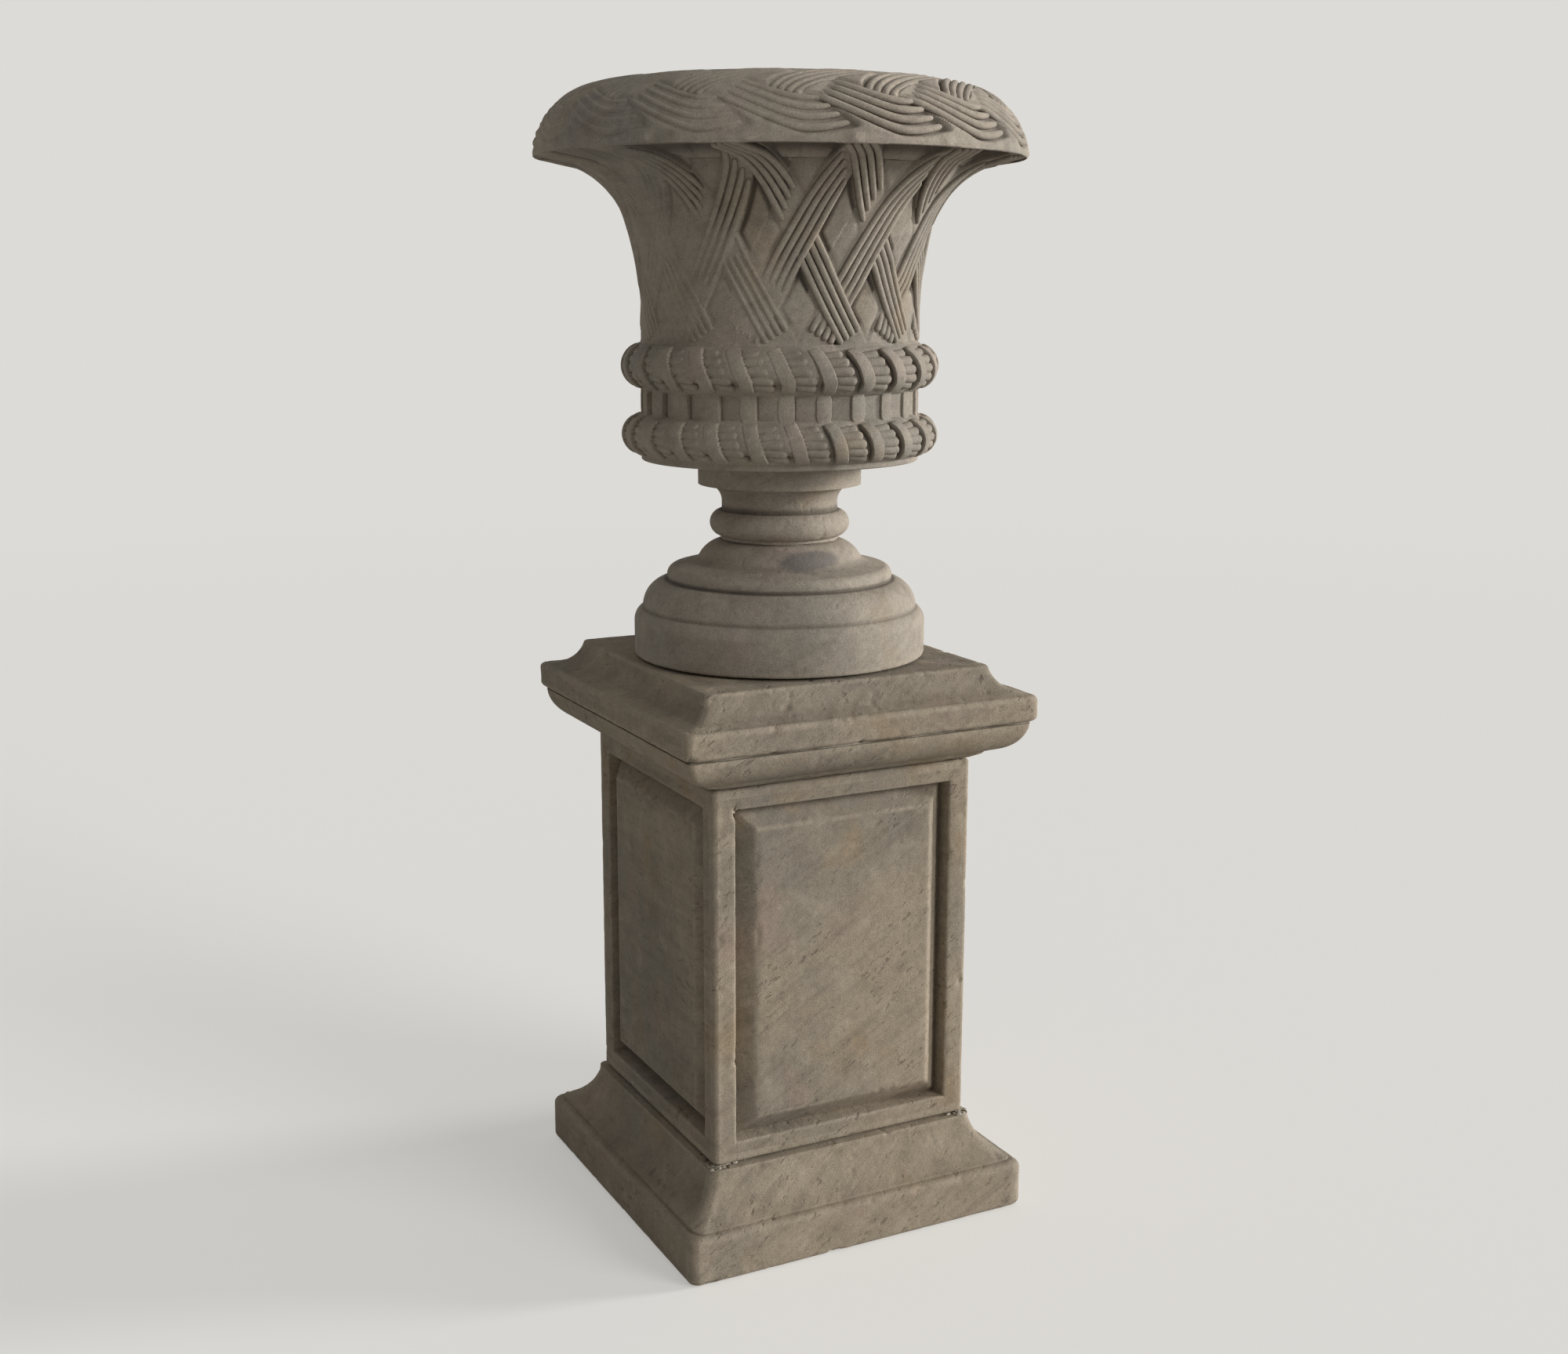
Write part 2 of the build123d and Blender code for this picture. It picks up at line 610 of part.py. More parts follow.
# Rim carving: the grooves of all repeats, down to an even depth below the rolled rim
with BuildPart() as rim_skin:
    with BuildSketch(Plane.XZ):
        with BuildLine():
            floor_arc, outer_arc = [
                ThreePointArc(*[rim_point(run, depth) for run in (0, crest_run / 2, crest_run)])
                for depth in (rim_groove_depth, -rim_roll_sag)
            ]
            Line(floor_arc @ 0, outer_arc @ 0)
            Line(floor_arc @ 1, outer_arc @ 1)
        make_face()
    revolve(axis=Axis.Z)
with BuildPart() as rim_grooves:
    with BuildSketch(*rim_planes(hook_turn, hook_middle_run)) as hooks:
        for groove in range(hook_groove_count):
            run = hook_run + groove * hook_pitch
            low = run - hook_middle_run
            tip = (rim_width(hook_tip_turn + groove * hook_tip_drift, run), low + hook_tip_rise)
            with BuildLine():
                fall = Line((rim_width(hook_start_turn, run), low + hook_start_rise),
                            (rim_width(hook_bend_turn, run), low + hook_bend_rise))
                ThreePointArc(fall @ 1, (0, low), tip)
            trace(line_width=rim_groove_width)
            with Locations(tip):
                Circle(hook_pocket_radius)
    extrude(hooks.sketch, amount=-rim_groove_reach)
    with BuildSketch(*rim_planes(plume_turn + plume_middle_turn, plume_middle_run)) as plumes:
        for groove in range(plume_groove_count):
            aside = (groove - (plume_groove_count - 1) / 2) * plume_pitch
            with BuildLine():
                ThreePointArc(*[
                    (rim_width(turn - plume_middle_turn, run) + aside * cos(lean),
                     run - plume_middle_run - aside * sin(lean))
                    for turn, run, lean in plume_stations
                ])
            trace(line_width=rim_groove_width)
    extrude(plumes.sketch, amount=-rim_groove_reach)
    add(rim_skin.part, mode=Mode.INTERSECT)

# Urn bowl: outside from the plate up to the lip, over the rolled rim, and down the hollow to the drain
with BuildPart() as urn_bowl:
    with BuildSketch(Plane.XZ):
        with BuildLine():
            underside = Line((drain_bore_radius, bowl_bottom), (waist_radius - plate_arris, bowl_bottom))
            arris = RadiusArc(underside @ 1, (waist_radius, bowl_bottom + plate_arris), -plate_arris)
            plate = Line(arris @ 1, (waist_radius, lower_ring_bottom))
            lower_ring = ThreePointArc(plate @ 1, (ring_radius, (lower_ring_bottom + strap_bottom) / 2),
                                       (waist_radius, strap_bottom))
            strap_band = Line(lower_ring @ 1, (waist_radius, strap_top))
            upper_ring = ThreePointArc(strap_band @ 1, (ring_radius, (strap_top + waist_bottom) / 2),
                                       (waist_radius, waist_bottom))
            waist = Line(upper_ring @ 1, (waist_radius, flare_bottom))
            flare = TangentArc(waist @ 1, (flare_radius, lip_root_bottom), tangent=(0, 1))
            lip_root = TangentArc(flare @ 1, (lip_root_radius, lip_slope_bottom), tangent=flare % 1)
            lip_slope = Line(lip_root @ 1, (lip_radius - lip_edge, lip_bottom))
            lip = RadiusArc(lip_slope @ 1, (lip_radius, lip_top), -lip_edge)
            rim = SagittaArc(lip @ 1, (crest_radius, crest_top), -rim_roll_sag)
            mouth = TangentArc(rim @ 1, (mouth_radius, mouth_throat), tangent=(-1, 0))
            wall = Line(mouth @ 1, (mouth_radius, bowl_floor + bowl_floor_fillet))
            corner = RadiusArc(wall @ 1, (mouth_radius - bowl_floor_fillet, bowl_floor),
                               bowl_floor_fillet)
            Polyline(corner @ 1, (drain_bore_radius, bowl_floor), underside @ 0)
        make_face()
    revolve(axis=Axis.Z)
    bore_row(stem_dowel_spots, bowl_bottom, urn_dowel_radius + dowel_grout, urn_dowel_embed)
    add(weave_pockets.part, mode=Mode.SUBTRACT)
    add(weave_crossings.part, mode=Mode.SUBTRACT)
    add(rim_grooves.part, mode=Mode.SUBTRACT)
    with PolarLocations(0, ribbon_count, start_angle=carving_facing + strap_ribbon_turn):
        add(strap_tooth.part, mode=Mode.SUBTRACT)
    with Locations((0, 0, (lower_ring_bottom + strap_bottom) / 2)):
        with PolarLocations(0, ribbon_count, start_angle=carving_facing + lower_ribbon_turn):
            add(ring_tooth.part, mode=Mode.SUBTRACT)
    with Locations((0, 0, (strap_top + waist_bottom) / 2)):
        with PolarLocations(0, ribbon_count, start_angle=carving_facing + upper_ribbon_turn):
            add(ring_tooth.part, mode=Mode.SUBTRACT)
urn_bowl.part.label = "urn_bowl"
export_step(urn_bowl.part, "parts/urn_bowl.step")

# Lead pads that carry the foot and leave a drain gap round them
with BuildPart() as setting_pads:
    with BuildSketch(Plane.XY.offset(cap_top)):
        with pad_spots:
            Circle(pad_radius)
    extrude(amount=pad_thickness)
setting_pads.part.label = "setting_pads"
export_step(setting_pads.part, "parts/setting_pads.step")

# Pins set in the cap slab that keep the urn in place
with BuildPart() as locating_pins:
    with BuildSketch(Plane.XY.offset(cap_top - dowel_embed)):
        with pin_spots:
            Circle(dowel_radius)
    extrude(amount=dowel_embed + pin_projection)
locating_pins.part.label = "locating_pins"
export_step(locating_pins.part, "parts/locating_pins.step")

# Drain pipe, hung by its flange on the bowl's floor
with BuildPart() as drain_pipe:
    with BuildSketch(Plane.XY.offset(foot_bottom + drain_end_setback)):
        Circle(drain_pipe_radius)
        Circle(drain_radius, mode=Mode.SUBTRACT)
    extrude(amount=bowl_floor + drain_flange_thickness - foot_bottom - drain_end_setback)
    with BuildSketch(Plane.XY.offset(bowl_floor)):
        Circle(drain_flange_radius)
        Circle(drain_radius, mode=Mode.SUBTRACT)
    extrude(amount=drain_flange_thickness)
drain_pipe.part.label = "drain_pipe"
export_step(drain_pipe.part, "parts/drain_pipe.step")

# Mortar beds and dowels of each joint
square_bed("base_mortar", die_seat_width, base_top, main_diagonal)
square_bed("die_mortar", die_seat_width, die_top, main_diagonal)
square_bed("cap_mortar", 2 * bed_top_half, bed_top, other_diagonal)
round_bed("foot_mortar", stem_fillet_radius, foot_top, foot_dowel_spots)
round_bed("stem_mortar", stem_disc_radius, stem_top, stem_dowel_spots)
dowel_set("base_dowels", main_diagonal, base_top, dowel_radius, dowel_embed)
dowel_set("die_dowels", main_diagonal, die_top, dowel_radius, dowel_embed)
dowel_set("cap_dowels", other_diagonal, bed_top, dowel_radius, dowel_embed)
dowel_set("foot_dowels", foot_dowel_spots, foot_top, urn_dowel_radius, urn_dowel_embed)
dowel_set("stem_dowels", stem_dowel_spots, stem_top, urn_dowel_radius, urn_dowel_embed)
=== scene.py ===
"""Looks of a carved sandstone garden urn on a panelled plinth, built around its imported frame.

Sizes are millimetres, and a mesh is written in metres. A turn is an angle in degrees round the
urn's axis, anticlockwise from above, with zero facing the camera. A run is the length along the
bowl's outside, from its plate upwards. A depth is measured inwards from that outside.
"""

from __future__ import annotations

import logging
import math
from collections.abc import Callable, Mapping, Sequence
from dataclasses import dataclass
from enum import Enum
from typing import Any

import bpy
import numpy as np
from mathutils import Euler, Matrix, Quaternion, Vector


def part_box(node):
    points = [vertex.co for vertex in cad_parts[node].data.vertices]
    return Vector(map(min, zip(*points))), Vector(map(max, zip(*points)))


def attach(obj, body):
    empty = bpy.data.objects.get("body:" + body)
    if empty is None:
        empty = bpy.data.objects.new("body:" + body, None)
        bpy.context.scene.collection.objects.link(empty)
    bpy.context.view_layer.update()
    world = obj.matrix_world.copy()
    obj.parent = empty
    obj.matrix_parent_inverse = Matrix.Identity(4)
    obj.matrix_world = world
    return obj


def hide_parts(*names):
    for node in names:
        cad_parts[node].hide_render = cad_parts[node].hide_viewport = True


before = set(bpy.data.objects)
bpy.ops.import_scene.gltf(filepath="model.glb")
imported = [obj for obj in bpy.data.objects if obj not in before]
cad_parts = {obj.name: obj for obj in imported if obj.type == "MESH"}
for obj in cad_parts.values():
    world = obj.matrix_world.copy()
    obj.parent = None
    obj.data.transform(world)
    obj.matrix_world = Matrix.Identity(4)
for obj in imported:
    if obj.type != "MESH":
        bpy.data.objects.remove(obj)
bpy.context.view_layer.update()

log = logging.getLogger("urn")

MM = 0.001
FACING_TURN = 242.7
SHARP_ANGLE = math.radians(48)
HOLLOW_EDGE = -0.2
SOCKET_SIDES = 48
ROD_SIDES = 12
WORN_ARRIS = ((1.6, 0.0), (0.5, 0.35), (0.0, 1.4))
SMEAR_AT = (-0.012, -0.116)
SMEAR_DROP = 0.016


class Body(Enum):
    """CAD body that a piece moves with."""

    PLINTH = "plinth"
    URN = "urn"


class Slot(Enum):
    """Material slot of the record; no piece in this script takes its finish from it."""

    SANDSTONE = "sandstone"
    MORTAR = "lime_mortar"


def operator(operation: str, swapped: bool = False) -> Callable[..., Wire]:
    """Makes an operator of Wire.

    Args:
        operation: The Math node's operation.
        swapped: Whether the wire itself is the second value.

    Returns:
        The method, which adds the node to the wire's own tree.
    """

    def method(self: Wire, *others: Wire | float) -> Wire:
        """Works out the operation on this value and the others."""
        values = (*others, self) if swapped else (self, *others)
        return self.graph.math(operation, *values)

    return method


class Wire:
    """One output socket of a node, for use in Python expressions."""

    __add__ = __radd__ = operator("ADD")
    __mul__ = __rmul__ = operator("MULTIPLY")
    __sub__ = operator("SUBTRACT")
    __rsub__ = operator("SUBTRACT", swapped=True)
    __truediv__ = operator("DIVIDE")
    __rtruediv__ = operator("DIVIDE", swapped=True)
    __pow__ = operator("POWER")
    __abs__ = operator("ABSOLUTE")

    def __init__(self, graph: Graph, socket: bpy.types.NodeSocket) -> None:
        """Holds a socket of the graph's tree."""
        self.graph = graph
        self.socket = socket

    def wrap(self, low: float, high: float) -> Wire:
        """This value brought into a repeating range."""
        return self.graph.math("WRAP", self, high, low)

    def ramp(self, low: float, high: float) -> Wire:
        """A smooth step from 0 at low to 1 at high."""
        return self.graph.wire(
            "ShaderNodeMapRange",
            {"interpolation_type": "SMOOTHSTEP"},
            {"Value": self, "From Min": low, "From Max": high},
        )

    def span(self, rise: tuple[float, float], fall: tuple[float, float]) -> Wire:
        """1 from the end of a smooth rise to the start of a smooth fall, and 0 outside both."""
        return self.ramp(*rise) * (1 - self.ramp(*fall))


def most(first: Any, second: Any) -> Any:
    """The larger of two values, as a node for wires or at once for numbers."""
    if isinstance(first, Wire):
        return first.graph.math("MAXIMUM", first, second)
    return np.maximum(first, second)


def least(first: Any, second: Any) -> Any:
    """The smaller of two values, as a node for wires or at once for numbers."""
    if isinstance(first, Wire):
        return first.graph.math("MINIMUM", first, second)
    return np.minimum(first, second)


def root(value: Any) -> Any:
    """The square root, as a node for wires or at once for numbers."""
    return value ** 0.5


class Graph:
    """A node tree that grows as expressions on its wires are written."""

    def __init__(self, tree: bpy.types.NodeTree) -> None:
        """Takes up a tree as it is."""
        self.tree = tree

    @classmethod
    def blank(cls, owner: bpy.types.Material | bpy.types.World) -> Graph:
        """The emptied tree of a material or of the world."""
        owner.use_nodes = True
        owner.node_tree.nodes.clear()
        return cls(owner.node_tree)

    @staticmethod
    def pick(sockets: Any, key: str | int) -> bpy.types.NodeSocket:
        """The socket in use with that name, or at that place."""
        live = [socket for socket in sockets if socket.enabled]
        if isinstance(key, int):
            return live[key]
        return next(socket for socket in live if socket.name == key)

    def node(
        self,
        kind: str,
        settings: Mapping[str, Any] | None = None,
        inputs: Mapping[str | int, Any] | None = None,
    ) -> bpy.types.Node:
        """Adds a node of any kind.

        Args:
            kind: Blender's name for the type of node.
            settings: Properties of the node, which are set first.
            inputs: Values or wires for its sockets, by name or by place.

        Returns:
            The new node.
        """
        made = self.tree.nodes.new(kind)
        for name, value in (settings or {}).items():
            setattr(made, name, value)
        for key, value in (inputs or {}).items():
            socket = self.pick(made.inputs, key)
            if isinstance(value, Wire):
                self.tree.links.new(value.socket, socket)
            else:
                socket.default_value = value
        return made

    def wire(
        self,
        kind: str,
        settings: Mapping[str, Any] | None = None,
        inputs: Mapping[str | int, Any] | None = None,
        output: str | int = 0,
    ) -> Wire:
        """Adds a node and takes one of its outputs.

        Args:
            kind: Blender's name for the type of node.
            settings: Properties of the node, which are set first.
            inputs: Values or wires for its sockets, by name or by place.
            output: The output's name or place.

        Returns:
            That output.
        """
        made = self.node(kind, settings, inputs)
        return Wire(self, self.pick(made.outputs, output))

    def math(self, operation: str, *values: Wire | float) -> Wire:
        """One Math node on its values."""
        return self.wire("ShaderNodeMath", {"operation": operation}, dict(enumerate(values)))

    def scaled(self, vector: Wire, amount: Wire | float) -> Wire:
        """A vector times a number."""
        return self.wire(
            "ShaderNodeVectorMath", {"operation": "SCALE"}, {"Vector": vector, "Scale": amount}
        )

    def noise(
        self, place: Wire, size: Wire | float, seed: Wire | float, detail: float = 2.0
    ) -> Wire:
        """Smooth noise about one half.

        Args:
            place: Position in metres.
            size: Size of the noise's lumps in millimetres.
            seed: Picks one of many unlike patterns.
            detail: How many finer layers lie on the lumps.

        Returns:
            The noise.
        """
        settings = {"noise_dimensions": "4D"}
        inputs = {"Vector": place, "W": seed, "Scale": 1 / (size * MM), "Detail": detail}
        return self.wire("ShaderNodeTexNoise", settings, inputs)

    def tint(self, share: Wire | float, first: Any, second: Any, how: str = "MIX") -> Wire:
        """Mixes two colours.

        Args:
            share: How much of the second colour is laid on.
            first: The colour beneath, a wire or four numbers.
            second: The colour on top, a wire or four numbers.
            how: The blend type.

        Returns:
            The mixed colour.
        """
        settings = {"data_type": "RGBA", "blend_type": how}
        inputs = {"Factor": share, "A": first, "B": second}
        return self.wire("ShaderNodeMix", settings, inputs)


class Recipe:
    """A Geometry Nodes tree with named inputs, which gives a piece its plain mesh."""

    def __init__(self, name: str, sizes: Mapping[str, float]) -> None:
        """Opens the tree.

        Args:
            name: The tree's name.
            sizes: Its number inputs and what they are when nothing else is asked.
        """
        self.tree = bpy.data.node_groups.new(name, "GeometryNodeTree")
        self.graph = Graph(self.tree)
        face = self.tree.interface
        face.new_socket("Geometry", in_out="INPUT", socket_type="NodeSocketGeometry")
        for label, size in sizes.items():
            made = face.new_socket(label, in_out="INPUT", socket_type="NodeSocketFloat")
            made.default_value = size
        face.new_socket("Finish", in_out="INPUT", socket_type="NodeSocketMaterial")
        face.new_socket("Geometry", in_out="OUTPUT", socket_type="NodeSocketGeometry")
        self.entry = self.graph.node("NodeGroupInput")
        self.place = self.graph.wire("GeometryNodeInputPosition")
        self.normal = self.graph.wire("GeometryNodeInputNormal")

    def given(self, label: str) -> Wire:
        """One of the tree's inputs."""
        return Wire(self.graph, Graph.pick(self.entry.outputs, label))

    def mark(self, name: str, kind: str = "FLOAT") -> Wire:
        """A value that the mesh carries at its corners."""
        settings = {"data_type": kind}
        return self.graph.wire("GeometryNodeInputNamedAttribute", settings, {"Name": name})

    def keep(self, geometry: Wire, name: str, value: Wire) -> Wire:
        """Writes a value to the mesh's corners for the materials."""
        settings = {"data_type": "FLOAT", "domain": "POINT"}
        inputs = {"Geometry": geometry, "Name": name, "Value": value}
        return self.graph.wire("GeometryNodeStoreNamedAttribute", settings, inputs)

    def push(self, geometry: Wire, direction: Wire, amount: Wire) -> Wire:
        """Moves the corners along a direction by an amount in millimetres."""
        offset = self.graph.scaled(direction, amount * MM)
        inputs = {"Geometry": geometry, "Offset": offset}
        return self.graph.wire("GeometryNodeSetPosition", None, inputs)

    def close(self, geometry: Wire) -> Recipe:
        """Ends the tree with smooth shading, real instances and the finish."""
        smooth = self.graph.wire("GeometryNodeSetShadeSmooth", None, {"Geometry": geometry})
        real = self.graph.wire("GeometryNodeRealizeInstances", None, {"Geometry": smooth})
        inputs = {"Geometry": real, "Material": self.given("Finish")}
        dressed = self.graph.wire("GeometryNodeSetMaterial", None, inputs)
        self.graph.node("NodeGroupOutput", None, {"Geometry": dressed})
        return self

    def run(
        self, piece: bpy.types.Object, finish: bpy.types.Material, sizes: Mapping[str, float]
    ) -> bpy.types.Object:
        """Runs the tree on a piece and leaves the result as its mesh.

        Args:
            piece: The object to work on.
            finish: Its material.
            sizes: The inputs that differ from the tree's own.

        Returns:
            The same object with a plain mesh and no modifier.
        """
        modifier = piece.modifiers.new(self.tree.name, "NODES")
        modifier.node_group = self.tree
        values = {**sizes, "Finish": finish}
        for item in self.tree.interface.items_tree:
            if item.in_out == "INPUT" and item.name in values:
                modifier[item.identifier] = values[item.name]
        state = bpy.context.evaluated_depsgraph_get()
        made = bpy.data.meshes.new_from_object(piece.evaluated_get(state))
        piece.modifiers.remove(modifier)
        rough = piece.data
        piece.data = made
        bpy.data.meshes.remove(rough)
        made.name = piece.name
        made.set_sharp_from_angle(angle=SHARP_ANGLE)
        return piece


def weathering_recipe() -> Recipe:
    """The tree that wears a dressed stone: swells, pits, and chips along its arrises."""
    sizes = {
        "Swell": 0.5, "Swell Size": 90.0,
        "Pit Depth": 1.0, "Pit Size": 7.0,
        "Chip Depth": 3.6, "Chip Size": 30.0,
        "Seed": 1.0,
    }
    recipe = Recipe("weathering", sizes)
    graph, place, seed = recipe.graph, recipe.place, recipe.given("Seed")
    pitted_size, nibble_size, nibble_share = 60.0, 24.0, 0.15
    edge = most(recipe.mark("edge"), 0.0)
    swell = graph.noise(place, recipe.given("Swell Size"), seed, 3.0)
    pitted = graph.noise(place, pitted_size, seed + 3.0).ramp(0.46, 0.66)
    pits = graph.noise(place, recipe.given("Pit Size"), seed + 7.0, 1.0).ramp(0.6, 0.74) * pitted
    chips = graph.noise(place, recipe.given("Chip Size"), seed + 11.0, 3.0).ramp(0.6, 0.74) * edge
    nibble = graph.noise(place, nibble_size, seed + 17.0, 3.0).ramp(0.35, 0.8) * edge
    sunk = (
        recipe.given("Swell") * swell
        + recipe.given("Pit Depth") * pits
        + recipe.given("Chip Depth") * (chips + nibble_share * nibble)
    )
    worn = recipe.push(recipe.given("Geometry"), recipe.normal, sunk * -1.0)
    worn = recipe.keep(worn, "chip", chips)
    return recipe.close(worn)


def socket_recipe() -> Recipe:
    """The tree that bores two blind sockets up into a stone, on either side of its axis."""
    sizes = {"Offset": 100.0, "Socket Radius": 9.0, "Drill Length": 60.0, "Ceiling": 1.0}
    recipe = Recipe("pin_sockets", sizes)
    graph, length = recipe.graph, recipe.given("Drill Length") * MM
    radius = recipe.given("Socket Radius") * MM
    inputs = {"Vertices": SOCKET_SIDES, "Radius": radius, "Depth": length}
    drill = graph.wire("GeometryNodeMeshCylinder", None, inputs)
    aside, level = recipe.given("Offset") * MM, recipe.given("Ceiling") * MM - length * 0.5
    start, end = (
        graph.wire("ShaderNodeCombineXYZ", None, {"X": aside * side, "Z": level})
        for side in (-1.0, 1.0)
    )
    inputs = {"Count": 2, "Start Location": start, "Offset": end}
    spots = graph.wire("GeometryNodeMeshLine", {"mode": "END_POINTS"}, inputs)
    drills = graph.wire("GeometryNodeInstanceOnPoints", None, {"Points": spots, "Instance": drill})
    drills = graph.wire("GeometryNodeRealizeInstances", None, {"Geometry": drills})
    settings = {"operation": "DIFFERENCE", "solver": "EXACT"}
    inputs = {"Mesh 1": recipe.given("Geometry"), "Mesh 2": drills}
    return recipe.close(graph.wire("GeometryNodeMeshBoolean", settings, inputs))


def garland_recipe() -> Recipe:
    """The tree that sets one repeat of carved strands round the axis and roughens them."""
    sizes = {"Repeats": 12.0, "Waver": 0.5, "Waver Size": 34.0, "Tooling": 0.3, "Seed": 1.0}
    recipe = Recipe("garland", sizes)
    graph, place, seed = recipe.graph, recipe.place, recipe.given("Seed")
    spots = graph.wire("GeometryNodePoints", None, {"Count": recipe.given("Repeats")})
    index = graph.wire("GeometryNodeInputIndex")
    step = index * (math.tau / recipe.given("Repeats"))
    euler = graph.wire("ShaderNodeCombineXYZ", None, {"Z": step})
    turned = graph.wire("FunctionNodeEulerToRotation", None, {"Euler": euler})
    inputs = {"Points": spots, "Instance": recipe.given("Geometry"), "Rotation": turned}
    ring = graph.wire("GeometryNodeInstanceOnPoints", None, inputs)
    ring = graph.wire("GeometryNodeRealizeInstances", None, {"Geometry": ring})
    waver = graph.noise(place, recipe.given("Waver Size"), seed, 1.0)
    tooling = graph.noise(place, 7.0, seed + 5.0, 2.0)
    sunk = recipe.given("Waver") * waver + recipe.given("Tooling") * tooling
    return recipe.close(recipe.push(ring, recipe.normal, sunk * -1.0))


def crumb_recipe() -> Recipe:
    """The tree that scatters crumbs of mortar over the faces of a joint."""
    sizes = {"Crumbs": 60000.0, "Crumb Radius": 2.2, "Seed": 5.0}
    recipe = Recipe("mortar_crumbs", sizes)
    graph, seed = recipe.graph, recipe.given("Seed")
    inputs = {
        "Mesh": recipe.given("Geometry"),
        "Density": recipe.given("Crumbs") * most(recipe.mark("edge"), 0.0),
        "Seed": seed,
    }
    spots = graph.wire("GeometryNodeDistributePointsOnFaces", None, inputs)
    inputs = {"Radius": recipe.given("Crumb Radius") * MM, "Subdivisions": 2}
    crumb = graph.wire("GeometryNodeMeshIcoSphere", None, inputs)
    bounds = {"Min": (0.5, 0.5, 0.3), "Max": (2.2, 2.2, 1.2), "Seed": seed}
    sizing = graph.wire("FunctionNodeRandomValue", {"data_type": "FLOAT_VECTOR"}, bounds)
    inputs = {"Points": spots, "Instance": crumb, "Scale": sizing}
    laid = graph.wire("GeometryNodeInstanceOnPoints", None, inputs)
    laid = graph.wire("GeometryNodeRealizeInstances", None, {"Geometry": laid})
    lumps = graph.noise(recipe.place, 2.5, seed, 2.0)
    return recipe.close(recipe.push(laid, recipe.normal, (lumps - 0.5) * 1.6))


@dataclass
class Shell:
    """A closed surface: its corners in millimetres, its faces, and values at its corners."""

    points: np.ndarray
    faces: list[list[int]]
    marks: dict[str, np.ndarray]

    @staticmethod
    def joined(shells: Sequence[Shell]) -> Shell:
        """Several shells as one.

        Args:
            shells: Shells that carry the same marks.

        Returns:
            One shell with all their faces.
        """
        faces: list[list[int]] = []
        start = 0
        for shell in shells:
            faces += [[corner + start for corner in face] for face in shell.faces]
            start += len(shell.points)
        points = np.concatenate([shell.points for shell in shells])
        names = shells[0].marks
        marks = {name: np.concatenate([shell.marks[name] for shell in shells]) for name in names}
        return Shell(points, faces, marks)

    def piece(self, name: str) -> bpy.types.Object:
        """Writes the shell to a new object at the origin.

        Args:
            name: The object's name.

        Returns:
            The object.
        """
        mesh = bpy.data.meshes.new(name)
        mesh.from_pydata((self.points * MM).tolist(), [], self.faces)
        for mark, values in self.marks.items():
            vector = values.ndim == 2
            made = mesh.attributes.new(mark, "FLOAT_VECTOR" if vector else "FLOAT", "POINT")
            flat = values.astype(np.float32).ravel()
            made.data.foreach_set("vector" if vector else "value", flat)
        piece = bpy.data.objects.new(name, mesh)
        bpy.context.scene.collection.objects.link(piece)
        return piece


def lattice(grid: np.ndarray, marks: Mapping[str, np.ndarray], loop: bool) -> Shell:
    """Closes a lattice of rings.

    Args:
        grid: Corners, ring by ring; seen from outside, a ring goes to the right and the next ring
            is above it.
        marks: Values at the corners, in the same order.
        loop: Whether the last ring joins the first. Otherwise the end rings are single points.

    Returns:
        The closed shell.
    """
    rings, columns = grid.shape[:2]
    numbers = np.arange(rings * columns).reshape(rings, columns)
    flat = {name: values.reshape(rings * columns, *values.shape[2:]) for name, values in marks.items()}
    points = grid.reshape(-1, 3)
    if loop:
        lower, upper = numbers, np.roll(numbers, -1, axis=0)
    else:
        lower, upper = numbers[1:-2], numbers[2:-1]
    quads = np.stack(
        [lower, np.roll(lower, -1, axis=1), np.roll(upper, -1, axis=1), upper], axis=-1
    )
    faces = quads.reshape(-1, 4).tolist()
    if loop:
        return Shell(points, faces, flat)
    first, last = numbers[1], numbers[-2]
    foot, head = numbers[0, 0], numbers[-1, 0]
    faces += [[int(foot), int(b), int(a)] for a, b in zip(first, np.roll(first, -1))]
    faces += [[int(head), int(a), int(b)] for a, b in zip(last, np.roll(last, -1))]
    used = np.concatenate([[foot], numbers[1:-1].ravel(), [head]])
    place = np.zeros(rings * columns, int)
    place[used] = np.arange(len(used))
    faces = [[int(place[corner]) for corner in face] for face in faces]
    return Shell(points[used], faces, {name: values[used] for name, values in flat.items()})


def raised(plan: np.ndarray, heights: np.ndarray) -> np.ndarray:
    """Rings of points on a plan, each ring at its own height."""
    level = np.broadcast_to(heights[:, None, None], (*plan.shape[:2], 1))
    return np.concatenate([plan, level], axis=2)


